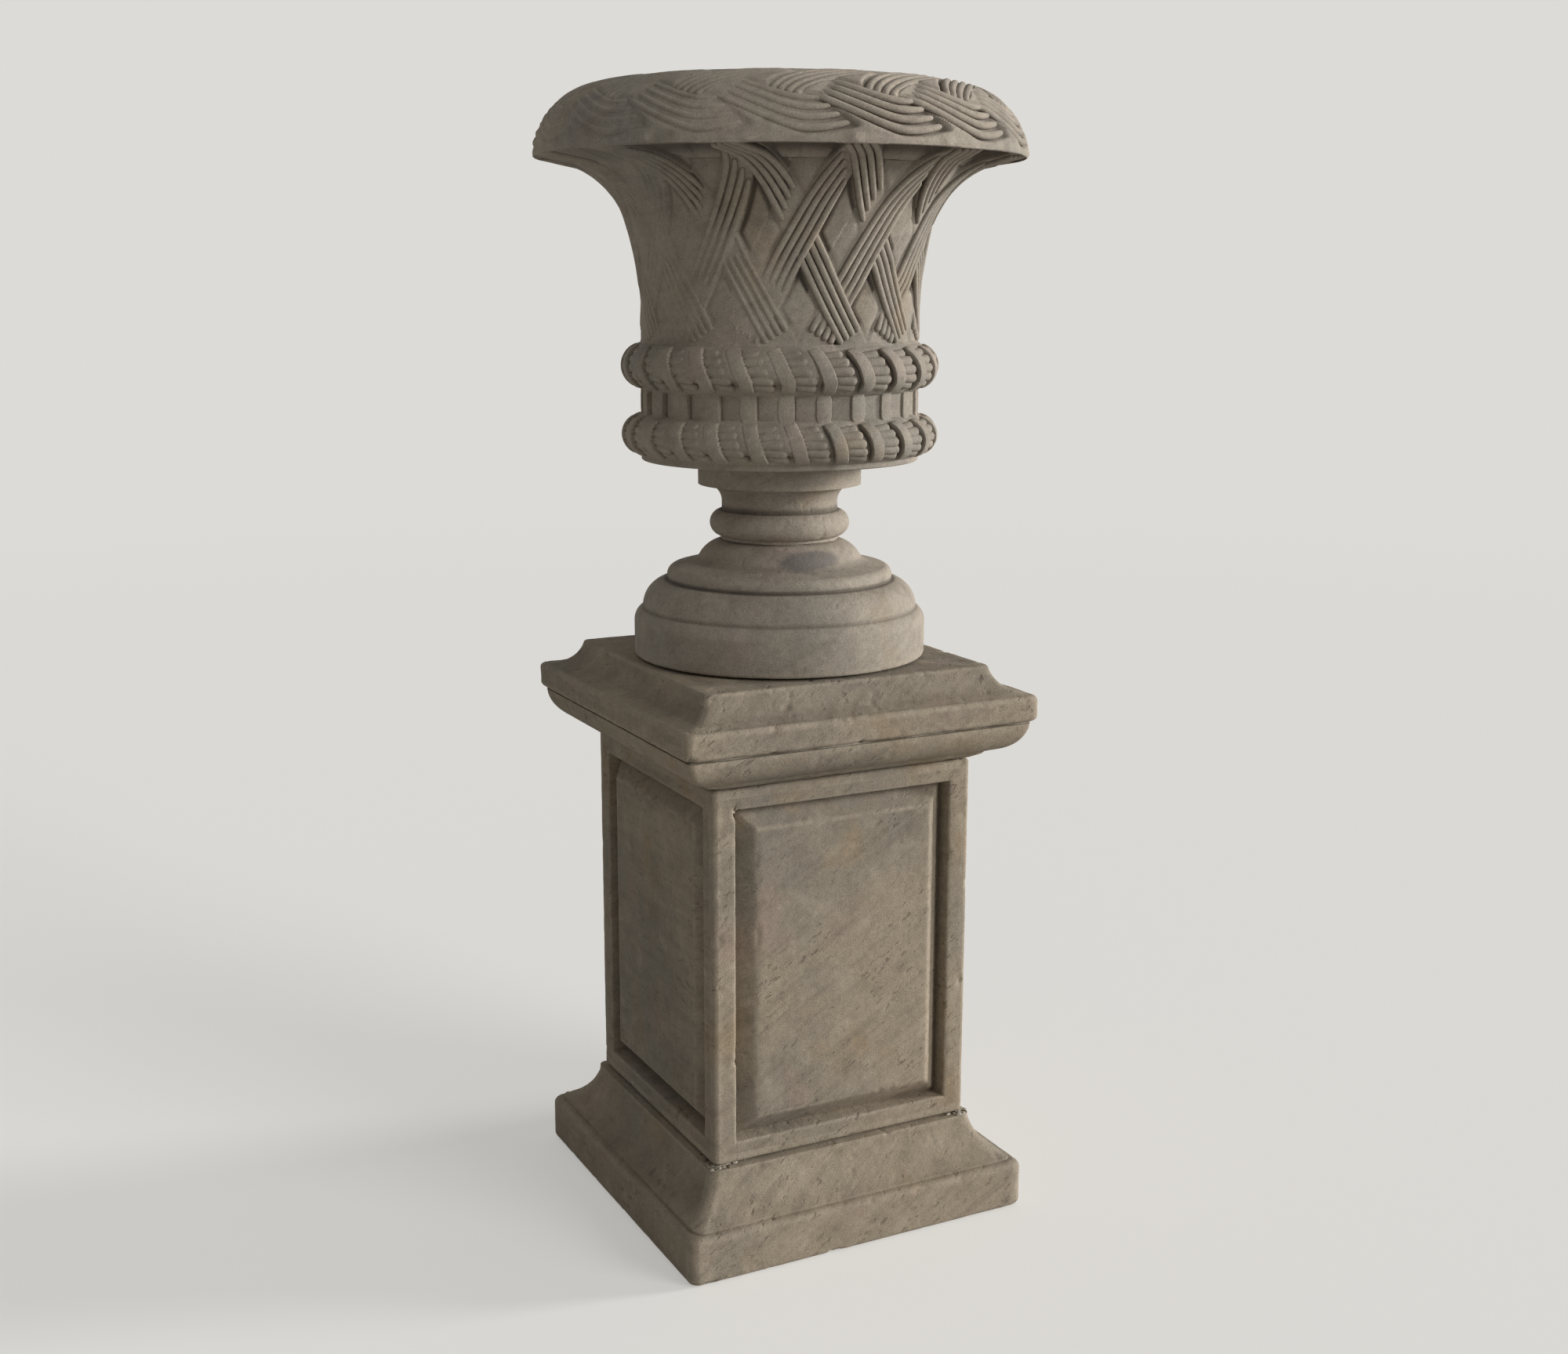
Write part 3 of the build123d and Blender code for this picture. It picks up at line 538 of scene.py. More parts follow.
class Outline:
    """A stone's section, drawn from point to point as (out, up).

    Going up the outside of a stone, a positive sag swells and a negative one is hollow.
    """

    def __init__(self, out: float, up: float, step: float) -> None:
        """Starts at a point, with the usual distance between samples."""
        self.points = [(out, up)]
        self.step = step
        self.heading = math.pi / 2

    def line(self, out: float, up: float, step: float | None = None) -> Outline:
        """Draws a straight line to a point."""
        return self.arc(out, up, 0.0, step)

    def arc(self, out: float, up: float, sag: float, step: float | None = None) -> Outline:
        """Draws an arc to a point.

        Args:
            out: Distance of the end from the axis.
            up: Height of the end.
            sag: How far the arc stands out from its chord.
            step: Distance between samples, where it isn't the usual one.

        Returns:
            The outline itself.
        """
        start = np.array(self.points[-1])
        end = np.array([out, up])
        chord = end - start
        length = float(np.hypot(*chord))
        half_turn = 2 * math.atan(2 * sag / length)
        ratio = half_turn / math.sin(half_turn) if sag else 1.0
        count = max(1, math.ceil(length * ratio / (step or self.step)))
        share = np.arange(1, count + 1) / count
        if sag:
            radius = length / 2 / math.sin(half_turn)
            angle = half_turn * (2 * share - 1)
            along = 0.5 + radius * np.sin(angle) / length
            bulge = radius * (np.cos(angle) - math.cos(half_turn))
        else:
            along, bulge = share, 0.0 * share
        right = np.array([chord[1], -chord[0]]) / length
        drawn = start + along[:, None] * chord + bulge[:, None] * right
        drawn[-1] = end
        self.points += [tuple(point) for point in drawn]
        self.heading = math.atan2(chord[1], chord[0]) + half_turn
        return self

    def rounded(self, out: float, up: float) -> Outline:
        """Draws a quarter round to a point."""
        start = self.points[-1]
        chord = math.hypot(out - start[0], up - start[1])
        return self.arc(out, up, chord * (math.sqrt(2) - 1) / 2)

    def flowing(self, out: float, up: float) -> Outline:
        """Draws an arc to a point that goes on in the line's own direction."""
        start = self.points[-1]
        chord = math.hypot(out - start[0], up - start[1])
        bend = math.atan2(up - start[1], out - start[0]) - self.heading
        return self.arc(out, up, chord / 2 * math.tan(bend / 2))

    def samples(self) -> np.ndarray:
        """The points drawn so far, one row each."""
        return np.array(self.points)


def running_length(points: np.ndarray) -> np.ndarray:
    """Length along a line of points, at each of them."""
    steps = np.linalg.norm(np.diff(points, axis=0), axis=1)
    return np.concatenate([[0.0], np.cumsum(steps)])


def edge_of(points: np.ndarray, reach: float = 5.0, full_bend: float = 1.2) -> np.ndarray:
    """How sharp an outline is near each point.

    Args:
        points: The outline.
        reach: How far a bend is felt along it.
        full_bend: The bend, in radians, that counts as sharp.

    Returns:
        At each point, up to 1 on an arris and down to -1 in a corner.
    """
    steps = np.diff(points, axis=0)
    heading = np.unwrap(np.arctan2(steps[:, 1], steps[:, 0]))
    bend = np.concatenate([[0.0], np.diff(heading), [0.0]])
    run = running_length(points)
    near = np.exp(-(((run[:, None] - run[None]) / reach) ** 2) / 2)
    return np.clip(near @ bend / full_bend, -1.0, 1.0)


@dataclass(frozen=True)
class RoundPlan:
    """A round stone seen from above."""

    columns: int

    def lay(self, half: np.ndarray) -> np.ndarray:
        """Rings of the given radii, as points on the plan."""
        angle = np.arange(self.columns) * math.tau / self.columns
        return half[:, None, None] * np.stack([np.cos(angle), np.sin(angle)], axis=-1)

    def corner(self) -> np.ndarray:
        """No column of a round stone lies on an upright arris."""
        return np.zeros(self.columns)


@dataclass(frozen=True)
class SquarePlan:
    """A square stone seen from above, with worn upright corners."""

    places: np.ndarray
    corner_radius: float
    reach: float = 0.04

    ARC_COLUMNS = 7
    SIDES = (((1, 0), (0, -1)), ((0, 1), (1, 0)), ((-1, 0), (0, 1)), ((0, -1), (-1, 0)))

    def lay(self, half: np.ndarray) -> np.ndarray:
        """Rings of the given half widths, as points on the plan."""
        radius = np.minimum(self.corner_radius, half / 2)
        flat = half - radius
        angle = np.arange(1, self.ARC_COLUMNS) * math.pi / 2 / self.ARC_COLUMNS
        found = []
        for along, out in np.array(self.SIDES, float):
            side = flat[:, None] * self.places
            found.append(side[..., None] * along + half[:, None, None] * out)
            turn = np.cos(angle)[:, None] * out + np.sin(angle)[:, None] * along
            found.append((flat[:, None, None] * (along + out)) + radius[:, None, None] * turn)
        return np.concatenate(found, axis=1)

    def corner(self) -> np.ndarray:
        """How near each column is to an upright arris, from 0 to 1."""
        side = np.exp(-(((1 - np.abs(self.places)) / self.reach) ** 2))
        return np.tile(np.concatenate([side, np.ones(self.ARC_COLUMNS - 1)]), len(self.SIDES))

    def outward(self) -> np.ndarray:
        """The direction that each column's side faces, zero on the corners."""
        rows = []
        for _, out in self.SIDES:
            rows += [out] * len(self.places) + [(0, 0)] * (self.ARC_COLUMNS - 1)
        return np.array(rows, float)


def even_places(count: int) -> np.ndarray:
    """Even places along a side, from one end to the other."""
    return np.linspace(-1.0, 1.0, count)


def stone_shell(outline: Outline, plan: RoundPlan | SquarePlan, loop: bool) -> Shell:
    """Carries a section round a plan.

    Args:
        outline: The section, which closes on itself or starts and ends on the axis.
        plan: The stone seen from above.
        loop: Whether the section closes on itself.

    Returns:
        The stone, marked with how sharp it is, and with grime and painted shade in its hollow corners.
    """
    section = outline.samples()
    edge = edge_of(section)
    if loop:
        section, edge = section[:-1], edge[:-1]
    grid = raised(plan.lay(section[:, 0]), section[:, 1])
    upright = np.where(edge[:, None] > HOLLOW_EDGE, plan.corner(), 0.0)
    marks = {
        "edge": np.maximum(np.broadcast_to(edge[:, None], grid.shape[:2]), upright),
        # Hollow corners of the section get grime and painted shade, darkest in the sharpest corners.
        "shade_and_grime": np.broadcast_to(np.clip(-edge, 0, 1)[:, None], grid.shape[:2]).copy(),
    }
    return lattice(grid, marks, loop)


def levels(node: str) -> tuple[float, float]:
    """Bottom and top of a CAD node."""
    low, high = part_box(node)
    return low.z / MM, high.z / MM


def dress(piece: bpy.types.Object, body: Body, nodes: Sequence[str] = ()) -> None:
    """Seats a finished piece on its body.

    Args:
        piece: The finished piece.
        body: The CAD body that it moves with.
        nodes: The CAD nodes that it stands for.
    """
    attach(piece, body.value)
    if nodes:
        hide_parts(*nodes)
    log.info("%s: %d faces on %s", piece.name, len(piece.data.polygons), body.value)


def srgb(red: float, green: float, blue: float) -> tuple[float, float, float, float]:
    """A colour given as it looks on screen, 0 to 255, in the linear form that shaders take."""

    def linear(value: float) -> float:
        """One channel in linear light."""
        share = value / 255
        return share / 12.92 if share <= 0.04045 else ((share + 0.055) / 1.055) ** 2.4

    return linear(red), linear(green), linear(blue), 1.0


class Finish:
    """A procedural material in the making: its node graph and its surface shader."""

    def __init__(self, name: str) -> None:
        """Starts a material with one surface shader.

        Args:
            name: The material's name.
        """
        self.material = bpy.data.materials.new(name)
        self.graph = Graph.blank(self.material)
        self.shader = self.graph.node("ShaderNodeBsdfPrincipled")
        lit = Wire(self.graph, self.shader.outputs[0])
        self.graph.node("ShaderNodeOutputMaterial", None, {"Surface": lit})
        self.place = self.graph.wire("ShaderNodeTexCoord", None, None, "Object")

    def mark(self, name: str) -> Wire:
        """A value that the mesh carries at its corners."""
        return self.graph.wire("ShaderNodeAttribute", {"attribute_name": name}, None, "Fac")

    def surface(
        self, colour: Wire, roughness: Wire, height: Wire, relief: float, **constants: float
    ) -> bpy.types.Material:
        """Connects the surface.

        Args:
            colour: Base colour.
            roughness: Roughness.
            height: Height of the fine relief, about 0 to 1.
            relief: What a height of 1 measures, in millimetres.
            constants: Other shader sockets, named with underscores, that are the same all over.

        Returns:
            The finished material.
        """
        bump = self.graph.wire(
            "ShaderNodeBump", None, {"Strength": 1.0, "Distance": relief * MM, "Height": height}
        )
        for socket, wire in (("Base Color", colour), ("Roughness", roughness), ("Normal", bump)):
            self.graph.tree.links.new(wire.socket, self.shader.inputs[socket])
        for name, value in constants.items():
            self.shader.inputs[name.replace("_", " ")].default_value = value
        return self.material


@dataclass(frozen=True)
class Sandstone:
    """Weathered sandstone: buff and grey patches, bedding, pits, pale arrises, and grime with painted
    shade in the hollows.
    """

    name: str
    buff: tuple[float, ...] = srgb(152, 139, 120)
    grey: tuple[float, ...] = srgb(132, 124, 111)
    rose: tuple[float, ...] = srgb(150, 131, 117)
    ochre: tuple[float, ...] = srgb(148, 127, 98)
    streak: tuple[float, ...] = srgb(102, 93, 81)
    # Dark colour of grime in the pits, and of grime and painted shade in hollows, creases and carved
    # recesses.
    grime_and_shade: tuple[float, ...] = srgb(66, 58, 49)
    fresh: tuple[float, ...] = srgb(180, 167, 148)
    patch_size: float = 300.0
    cloud_size: float = 95.0
    blotch_size: float = 34.0
    speck_size: float = 9.0
    grain_size: float = 2.0
    bed_size: float = 170.0
    bed_thinness: float = 0.07
    pit_size: float = 15.0
    pit_thinness: float = 0.34
    pitted_size: float = 70.0
    bedding_tilt: float = 30.0
    bedding: float = 0.25
    pitting: float = 0.8
    smear: tuple[float, ...] = srgb(104, 100, 97)
    smear_place: tuple[float, float, float] | None = None
    smear_size: tuple[float, float, float] = (0.05, 0.04, 0.016)
    seed: float = 1.0

    def material(self) -> bpy.types.Material:
        """Builds the stone's material."""
        finish = Finish(self.name)
        graph, place, seed = finish.graph, finish.place, self.seed
        beds = self.bedded(graph, place, self.bed_thinness)
        flecks = self.bedded(graph, place, self.pit_thinness)
        broad = graph.noise(place, self.patch_size, seed, 4.0)
        cloud = graph.noise(place, self.cloud_size, seed + 2.0, 5.0)
        blotch = graph.noise(place, self.blotch_size, seed + 3.0, 4.0)
        layers = graph.noise(beds, self.bed_size, seed + 4.0, 5.0)
        speck = graph.noise(place, self.speck_size, seed + 6.0, 3.0)
        grain = graph.noise(place, self.grain_size, seed + 8.0, 2.0)
        pitted = graph.noise(place, self.pitted_size, seed + 12.0, 2.0).ramp(0.42, 0.66)
        pits = graph.noise(flecks, self.pit_size, seed + 10.0, 4.0).ramp(0.57, 0.7)
        pits = pits * (0.2 + 0.8 * pitted)
        pits = pits * self.pitting
        edge, shade_and_grime, chip = finish.mark("edge"), finish.mark("shade_and_grime"), finish.mark("chip")
        colour = graph.tint(broad.ramp(0.4, 0.62), self.buff, self.grey)
        colour = graph.tint(cloud.ramp(0.52, 0.72) * 0.6, colour, self.rose)
        colour = graph.tint((1 - cloud.ramp(0.3, 0.46)) * 0.5, colour, self.ochre)
        colour = graph.tint(layers.ramp(0.46, 0.68) * self.bedding, colour, self.streak)
        colour = graph.tint(blotch.ramp(0.52, 0.7) * 0.25, colour, self.streak)
        colour = graph.tint((1 - blotch.ramp(0.3, 0.48)) * 0.25, colour, self.fresh)
        colour = graph.tint(pits * 0.5, colour, self.grime_and_shade)
        colour = graph.tint(edge.ramp(0.25, 1.0) * blotch.ramp(0.38, 0.62) * 0.35, colour, self.fresh)
        colour = graph.tint(chip.ramp(0.1, 0.8) * 0.45, colour, self.fresh)
        # Grime and painted shade: darker in hollow corners, panel sinkings, carved recesses, creases
        # and under the lip, as the mesh marks them.
        colour = graph.tint(shade_and_grime.ramp(0.15, 1.0) * (0.45 + 0.5 * cloud), colour, self.grime_and_shade)
        if self.smear_place:
            inputs = {"Vector": place, "Location": self.smear_place, "Scale": self.smear_size}
            spot = graph.wire("ShaderNodeMapping", {"vector_type": "TEXTURE"}, inputs)
            away = graph.wire("ShaderNodeVectorMath", {"operation": "LENGTH"}, {0: spot}, "Value")
            near = 1 - (away + 1.4 * (blotch - 0.5)).ramp(0.6, 1.05)
            colour = graph.tint(near * (0.5 + 0.5 * speck), colour, self.smear)
        shade = speck * 0.44 + grain * 0.84 + 0.38
        shade = graph.wire("ShaderNodeCombineColor", None, {0: shade, 1: shade, 2: shade})
        colour = graph.tint(1.0, colour, shade, "MULTIPLY")
        roughness = 0.8 + 0.16 * speck
        height = speck * 0.5 + grain * 0.4 + blotch * 0.6 - layers.ramp(0.45, 0.7) * 0.2 - pits
        return finish.surface(colour, roughness, height, 1.1, Specular_IOR_Level=0.22)

    def bedded(self, graph: Graph, place: Wire, thinness: float) -> Wire:
        """A place in the stone as its beds lie, which are thinner than they are long."""
        inputs = {
            "Vector": place,
            "Rotation": (0.0, -math.radians(self.bedding_tilt), 0.0),
            "Scale": (1.0, 1.0, thinness),
        }
        return graph.wire("ShaderNodeMapping", {"vector_type": "TEXTURE"}, inputs)


@dataclass(frozen=True)
class LimeMortar:
    """Old lime mortar: pale, sandy and stained."""

    name: str = "lime_mortar"
    pale: tuple[float, ...] = srgb(198, 190, 174)
    stained: tuple[float, ...] = srgb(124, 114, 99)
    seed: float = 21.0

    def material(self) -> bpy.types.Material:
        """Builds the mortar's material."""
        finish = Finish(self.name)
        graph, place = finish.graph, finish.place
        stain = graph.noise(place, 60.0, self.seed, 4.0)
        sand = graph.noise(place, 2.0, self.seed + 1.0, 2.0)
        colour = graph.tint(stain.ramp(0.38, 0.6), self.pale, self.stained)
        colour = graph.tint(sand.ramp(0.5, 0.7) * 0.4, colour, self.stained)
        return finish.surface(colour, 0.85 + 0.12 * sand, sand, 0.5, Specular_IOR_Level=0.2)


@dataclass(frozen=True)
class DullMetal:
    """A dull metal with a fine directional grain and some tarnish."""

    name: str
    clean: tuple[float, ...]
    tarnish: tuple[float, ...]
    roughness: float
    grain_stretch: tuple[float, float, float] = (1.0, 1.0, 1.0)
    seed: float = 31.0

    def material(self) -> bpy.types.Material:
        """Builds the metal's material."""
        finish = Finish(self.name)
        graph, place = finish.graph, finish.place
        drawn = {"Vector": place, "Scale": self.grain_stretch}
        lines = graph.noise(graph.wire("ShaderNodeMapping", None, drawn), 2.0, self.seed, 3.0)
        stain = graph.noise(place, 18.0, self.seed + 1.0, 4.0)
        colour = graph.tint(stain.ramp(0.42, 0.7), self.clean, self.tarnish)
        roughness = self.roughness + 0.2 * (lines - 0.5) + 0.15 * stain
        return finish.surface(colour, roughness, lines, 0.08, Metallic=1.0)


@dataclass
class Plinth:
    """The square plinth: base, panelled die, bed mould and cap slab."""

    base_half: float = 260.0
    base_slab: float = 69.0
    base_arris: float = 10.0
    base_ledge: float = 2.0
    base_quirk: float = 4.0
    base_cove_width: float = 43.0
    base_cove_height: float = 55.0
    base_cove_sag: float = 9.0
    die_half: float = 196.7
    die_arris: float = 5.0
    panel_margin: float = 34.0
    panel_end_margin: float = 30.0
    panel_depth: float = 26.0
    panel_bevel: float = 29.0
    panel_wear: float = 4.0
    bed_seat_half: float = 198.0
    bed_splay: tuple[float, float] = (12.0, 6.0)
    bed_step: tuple[float, float] = (3.0, 4.0)
    bed_soffit: tuple[float, float] = (15.0, 5.0)
    bed_ovolo: tuple[float, float] = (28.0, 39.0)
    bed_ovolo_sag: float = 7.0
    cap_half: float = 264.0
    cap_arris: float = 8.0
    cap_fascia: float = 38.0
    cap_ledge_margin: float = 2.0
    cap_ledge: tuple[float, float] = (18.0, 5.0)
    cap_cove: tuple[float, float] = (21.0, 27.0)
    cap_cove_sag: float = 3.5
    cap_top_arris: float = 5.0
    corner_wear: float = 3.0
    step: float = 3.6
    bed_step_length: float = 40.0
    seat_step: float = 9.0
    base_columns: int = 136
    bed_columns: int = 124
    cap_columns: int = 140
    worn_stations: tuple[float, ...] = (-0.65, -0.35, -0.15, -0.0375)
    bevel_stations: int = 8
    field_start: float = 2.0
    arris_rows: tuple[int, int] = (4, 2)
    arris_place: float = -1.0
    arris_reach: float = 4.0
    # Painted shade and grime inside a panel's sinking, fading away from its walls.
    panel_shade_and_grime: float = 0.2
    panel_shade_and_grime_reach: float = 5.0

    def base(self) -> Shell:
        """The base stone: slab, ledge, quirk, cove and seat."""
        bottom, top = levels("plinth_base")
        slab_top = bottom + self.base_slab
        ledge = self.base_half - self.base_arris - self.base_ledge
        cove_bottom = slab_top + self.base_quirk
        seat = ledge - self.base_cove_width
        outline = Outline(0.0, bottom, self.step)
        outline.line(self.base_half - self.base_arris, bottom, self.bed_step_length)
        outline.rounded(self.base_half, bottom + self.base_arris)
        outline.line(self.base_half, slab_top - self.base_arris)
        outline.rounded(self.base_half - self.base_arris, slab_top)
        outline.line(ledge, slab_top)
        outline.line(ledge, cove_bottom)
        outline.arc(seat, cove_bottom + self.base_cove_height, -self.base_cove_sag)
        outline.line(seat, top)
        outline.line(0.0, top, self.bed_step_length)
        plan = SquarePlan(even_places(self.base_columns), self.base_arris + self.corner_wear)
        return stone_shell(outline, plan, loop=False)

    def inset_stations(self, low: float, high: float, margin: float) -> np.ndarray:
        """Places across a panel, each with how far it lies inside the panel's sinking.

        Args:
            low: Where the stone's face begins.
            high: Where it ends.
            margin: Width of the frame round the panel, from the face's true edge.

        Returns:
            Rows of place and inset. At a sinking's wall two rows share a place.
        """
        wall_top, wall_foot = -1e-6, 1e-6
        frame_part = np.arange(self.panel_wear, margin, self.step)[::-1] * -1.0
        worn_part = np.array(self.worn_stations) * self.panel_wear
        bevel_part = np.linspace(0, self.panel_bevel, self.bevel_stations + 1)[1:]
        near = np.concatenate([frame_part, worn_part, [wall_top, wall_foot], bevel_part])
        inner = (high - low) / 2 - margin
        field_count = round(inner / self.step) - self.bevel_stations
        field_part = np.linspace(self.panel_bevel + self.field_start, inner, field_count)
        half = np.concatenate([near, field_part])
        from_low = np.stack([low + margin + half, half], axis=1)
        from_high = np.stack([high - margin - half, half], axis=1)[::-1]
        return np.concatenate([from_low, from_high[1:]])

    def sinking(self, inset: np.ndarray) -> np.ndarray:
        """Depth of the panel's face below the die's, from the inset inside its sinking."""
        worn = np.clip(inset + self.panel_wear, 0, self.panel_wear)
        frame_part = self.panel_wear - np.sqrt(self.panel_wear ** 2 - worn ** 2)
        slope = self.panel_depth * (1 - inset / self.panel_bevel)
        field_part = (slope + np.sqrt(slope ** 2 + self.panel_wear)) / 2
        return np.where(inset < 0, frame_part, field_part)

    def die(self) -> Shell:
        """The die: a square shaft with a raised and fielded panel on each side."""
        bottom, top = levels("plinth_die")
        corner = self.die_arris + self.corner_wear
        flat = self.die_half - corner
        across = self.inset_stations(-self.die_half, self.die_half, self.panel_margin)
        across = across[np.abs(across[:, 0]) <= flat]
        ends = np.array([[-flat, -self.panel_margin], [flat, -self.panel_margin]])
        across = np.concatenate([ends[:1], across, ends[1:]])
        upright = self.inset_stations(bottom, top, self.panel_end_margin)
        inside = (upright[:, 0] > bottom + self.die_arris) & (upright[:, 0] < top - self.die_arris)
        upright = upright[inside]
        outline = Outline(0.0, bottom, self.step)
        outline.line(self.die_half - self.die_arris, bottom, self.bed_step_length)
        outline.rounded(self.die_half, bottom + self.die_arris)
        below = len(outline.points)
        outline.points += [(self.die_half, level) for level in upright[:, 0]]
        above = len(outline.points)
        outline.line(self.die_half, top - self.die_arris)
        outline.rounded(self.die_half - self.die_arris, top)
        outline.line(0.0, top, self.bed_step_length)
        section = outline.samples()
        plan = SquarePlan(across[:, 0] / flat, corner)
        plain = plan.lay(section[:, 0])
        row_inset = np.full(len(section), -self.panel_end_margin)
        row_inset[below:above] = upright[:, 1]
        arc_inset = np.full(plan.ARC_COLUMNS - 1, -self.panel_margin)
        column_inset = np.tile(np.concatenate([across[:, 1], arc_inset]), len(plan.SIDES))
        inset = np.minimum(row_inset[:, None], column_inset)
        depth = np.where(inset > -self.panel_wear, self.sinking(inset), 0.0)
        face = plain - depth[..., None] * plan.outward()
        outer, inner = self.arris_rows
        ends_edge = np.zeros(len(section))
        ends_edge[below - outer:below + inner] = 1.0
        ends_edge[above - inner:above + outer] = 1.0
        arris = sum(
            np.exp(-((inset - place) / self.arris_reach) ** 2)
            for place in (self.arris_place, self.panel_bevel)
        )
        upright_arris = np.broadcast_to(plan.corner(), inset.shape)
        # Painted shade and grime inside the sinking, strongest beside its walls.
        grime_and_shade = self.panel_shade_and_grime * np.exp(-np.maximum(inset, 0) / self.panel_shade_and_grime_reach)
        marks = {
            "edge": np.clip(np.maximum(ends_edge[:, None], arris) + upright_arris, 0, 1),
            "shade_and_grime": np.where(inset > 0, grime_and_shade, 0.0),
        }
        return lattice(raised(face, section[:, 1]), marks, loop=False)

    def bed_mould(self) -> Shell:
        """The bed mould: splay, step, soffit and ovolo."""
        bottom, top = levels("cap_bed_mould")
        out, up = self.bed_seat_half, bottom
        outline = Outline(0.0, bottom, self.step)
        outline.line(out, up, self.bed_step_length)
        for width, height in (self.bed_splay, self.bed_step, self.bed_soffit):
            out, up = out + width, up + height
            outline.line(out, up)
        outline.arc(out + self.bed_ovolo[0], up + self.bed_ovolo[1], self.bed_ovolo_sag)
        outline.line(0.0, top, self.bed_step_length)
        plan = SquarePlan(even_places(self.bed_columns), self.cap_arris)
        return stone_shell(outline, plan, loop=False)

    def cap(self) -> Shell:
        """The cap slab: fascia, weathered ledge, cove and the urn's seat."""
        bottom, top = levels("cap_slab")
        fascia_top = bottom + self.cap_fascia
        ledge = self.cap_half - self.cap_arris - self.cap_ledge_margin
        cove_out, cove_up = ledge - self.cap_ledge[0], fascia_top + self.cap_ledge[1]
        seat, cove_top = cove_out - self.cap_cove[0], cove_up + self.cap_cove[1]
        outline = Outline(0.0, bottom, self.step)
        outline.line(self.cap_half - self.cap_arris, bottom, self.bed_step_length)
        outline.rounded(self.cap_half, bottom + self.cap_arris)
        outline.line(self.cap_half, fascia_top - self.cap_arris)
        outline.rounded(self.cap_half - self.cap_arris, fascia_top)
        outline.line(ledge, fascia_top)
        outline.line(cove_out, cove_up)
        outline.arc(seat, cove_top, -self.cap_cove_sag)
        outline.rounded(seat - self.cap_top_arris, top)
        outline.line(0.0, top, self.seat_step)
        plan = SquarePlan(even_places(self.cap_columns), self.cap_arris + self.corner_wear)
        return stone_shell(outline, plan, loop=False)

    def build(self, weathering: Recipe, stone: bpy.types.Material) -> None:
        """Builds the four stones of the plinth.

        Args:
            weathering: The tree that wears a stone.
            stone: Their material.
        """
        rough = {"Swell": 1.6, "Swell Size": 42.0, "Pit Depth": 2.0, "Pit Size": 12.0}
        pitted = {"Pit Depth": 1.5, "Pit Size": 11.0}
        stones = (
            ("base_stone", "plinth_base", self.base(), {"Seed": 1.0, **pitted}),
            ("die_stone", "plinth_die", self.die(), {"Seed": 2.0, "Chip Depth": 3.2}),
            ("bed_mould_stone", "cap_bed_mould", self.bed_mould(), {"Seed": 3.0}),
            ("cap_stone", "cap_slab", self.cap(), {"Seed": 4.0, "Chip Depth": 4.2, **rough}),
        )
        for name, node, shell, sizes in stones:
            piece = weathering.run(shell.piece(name), stone, sizes)
            dress(piece, Body.PLINTH, [node])


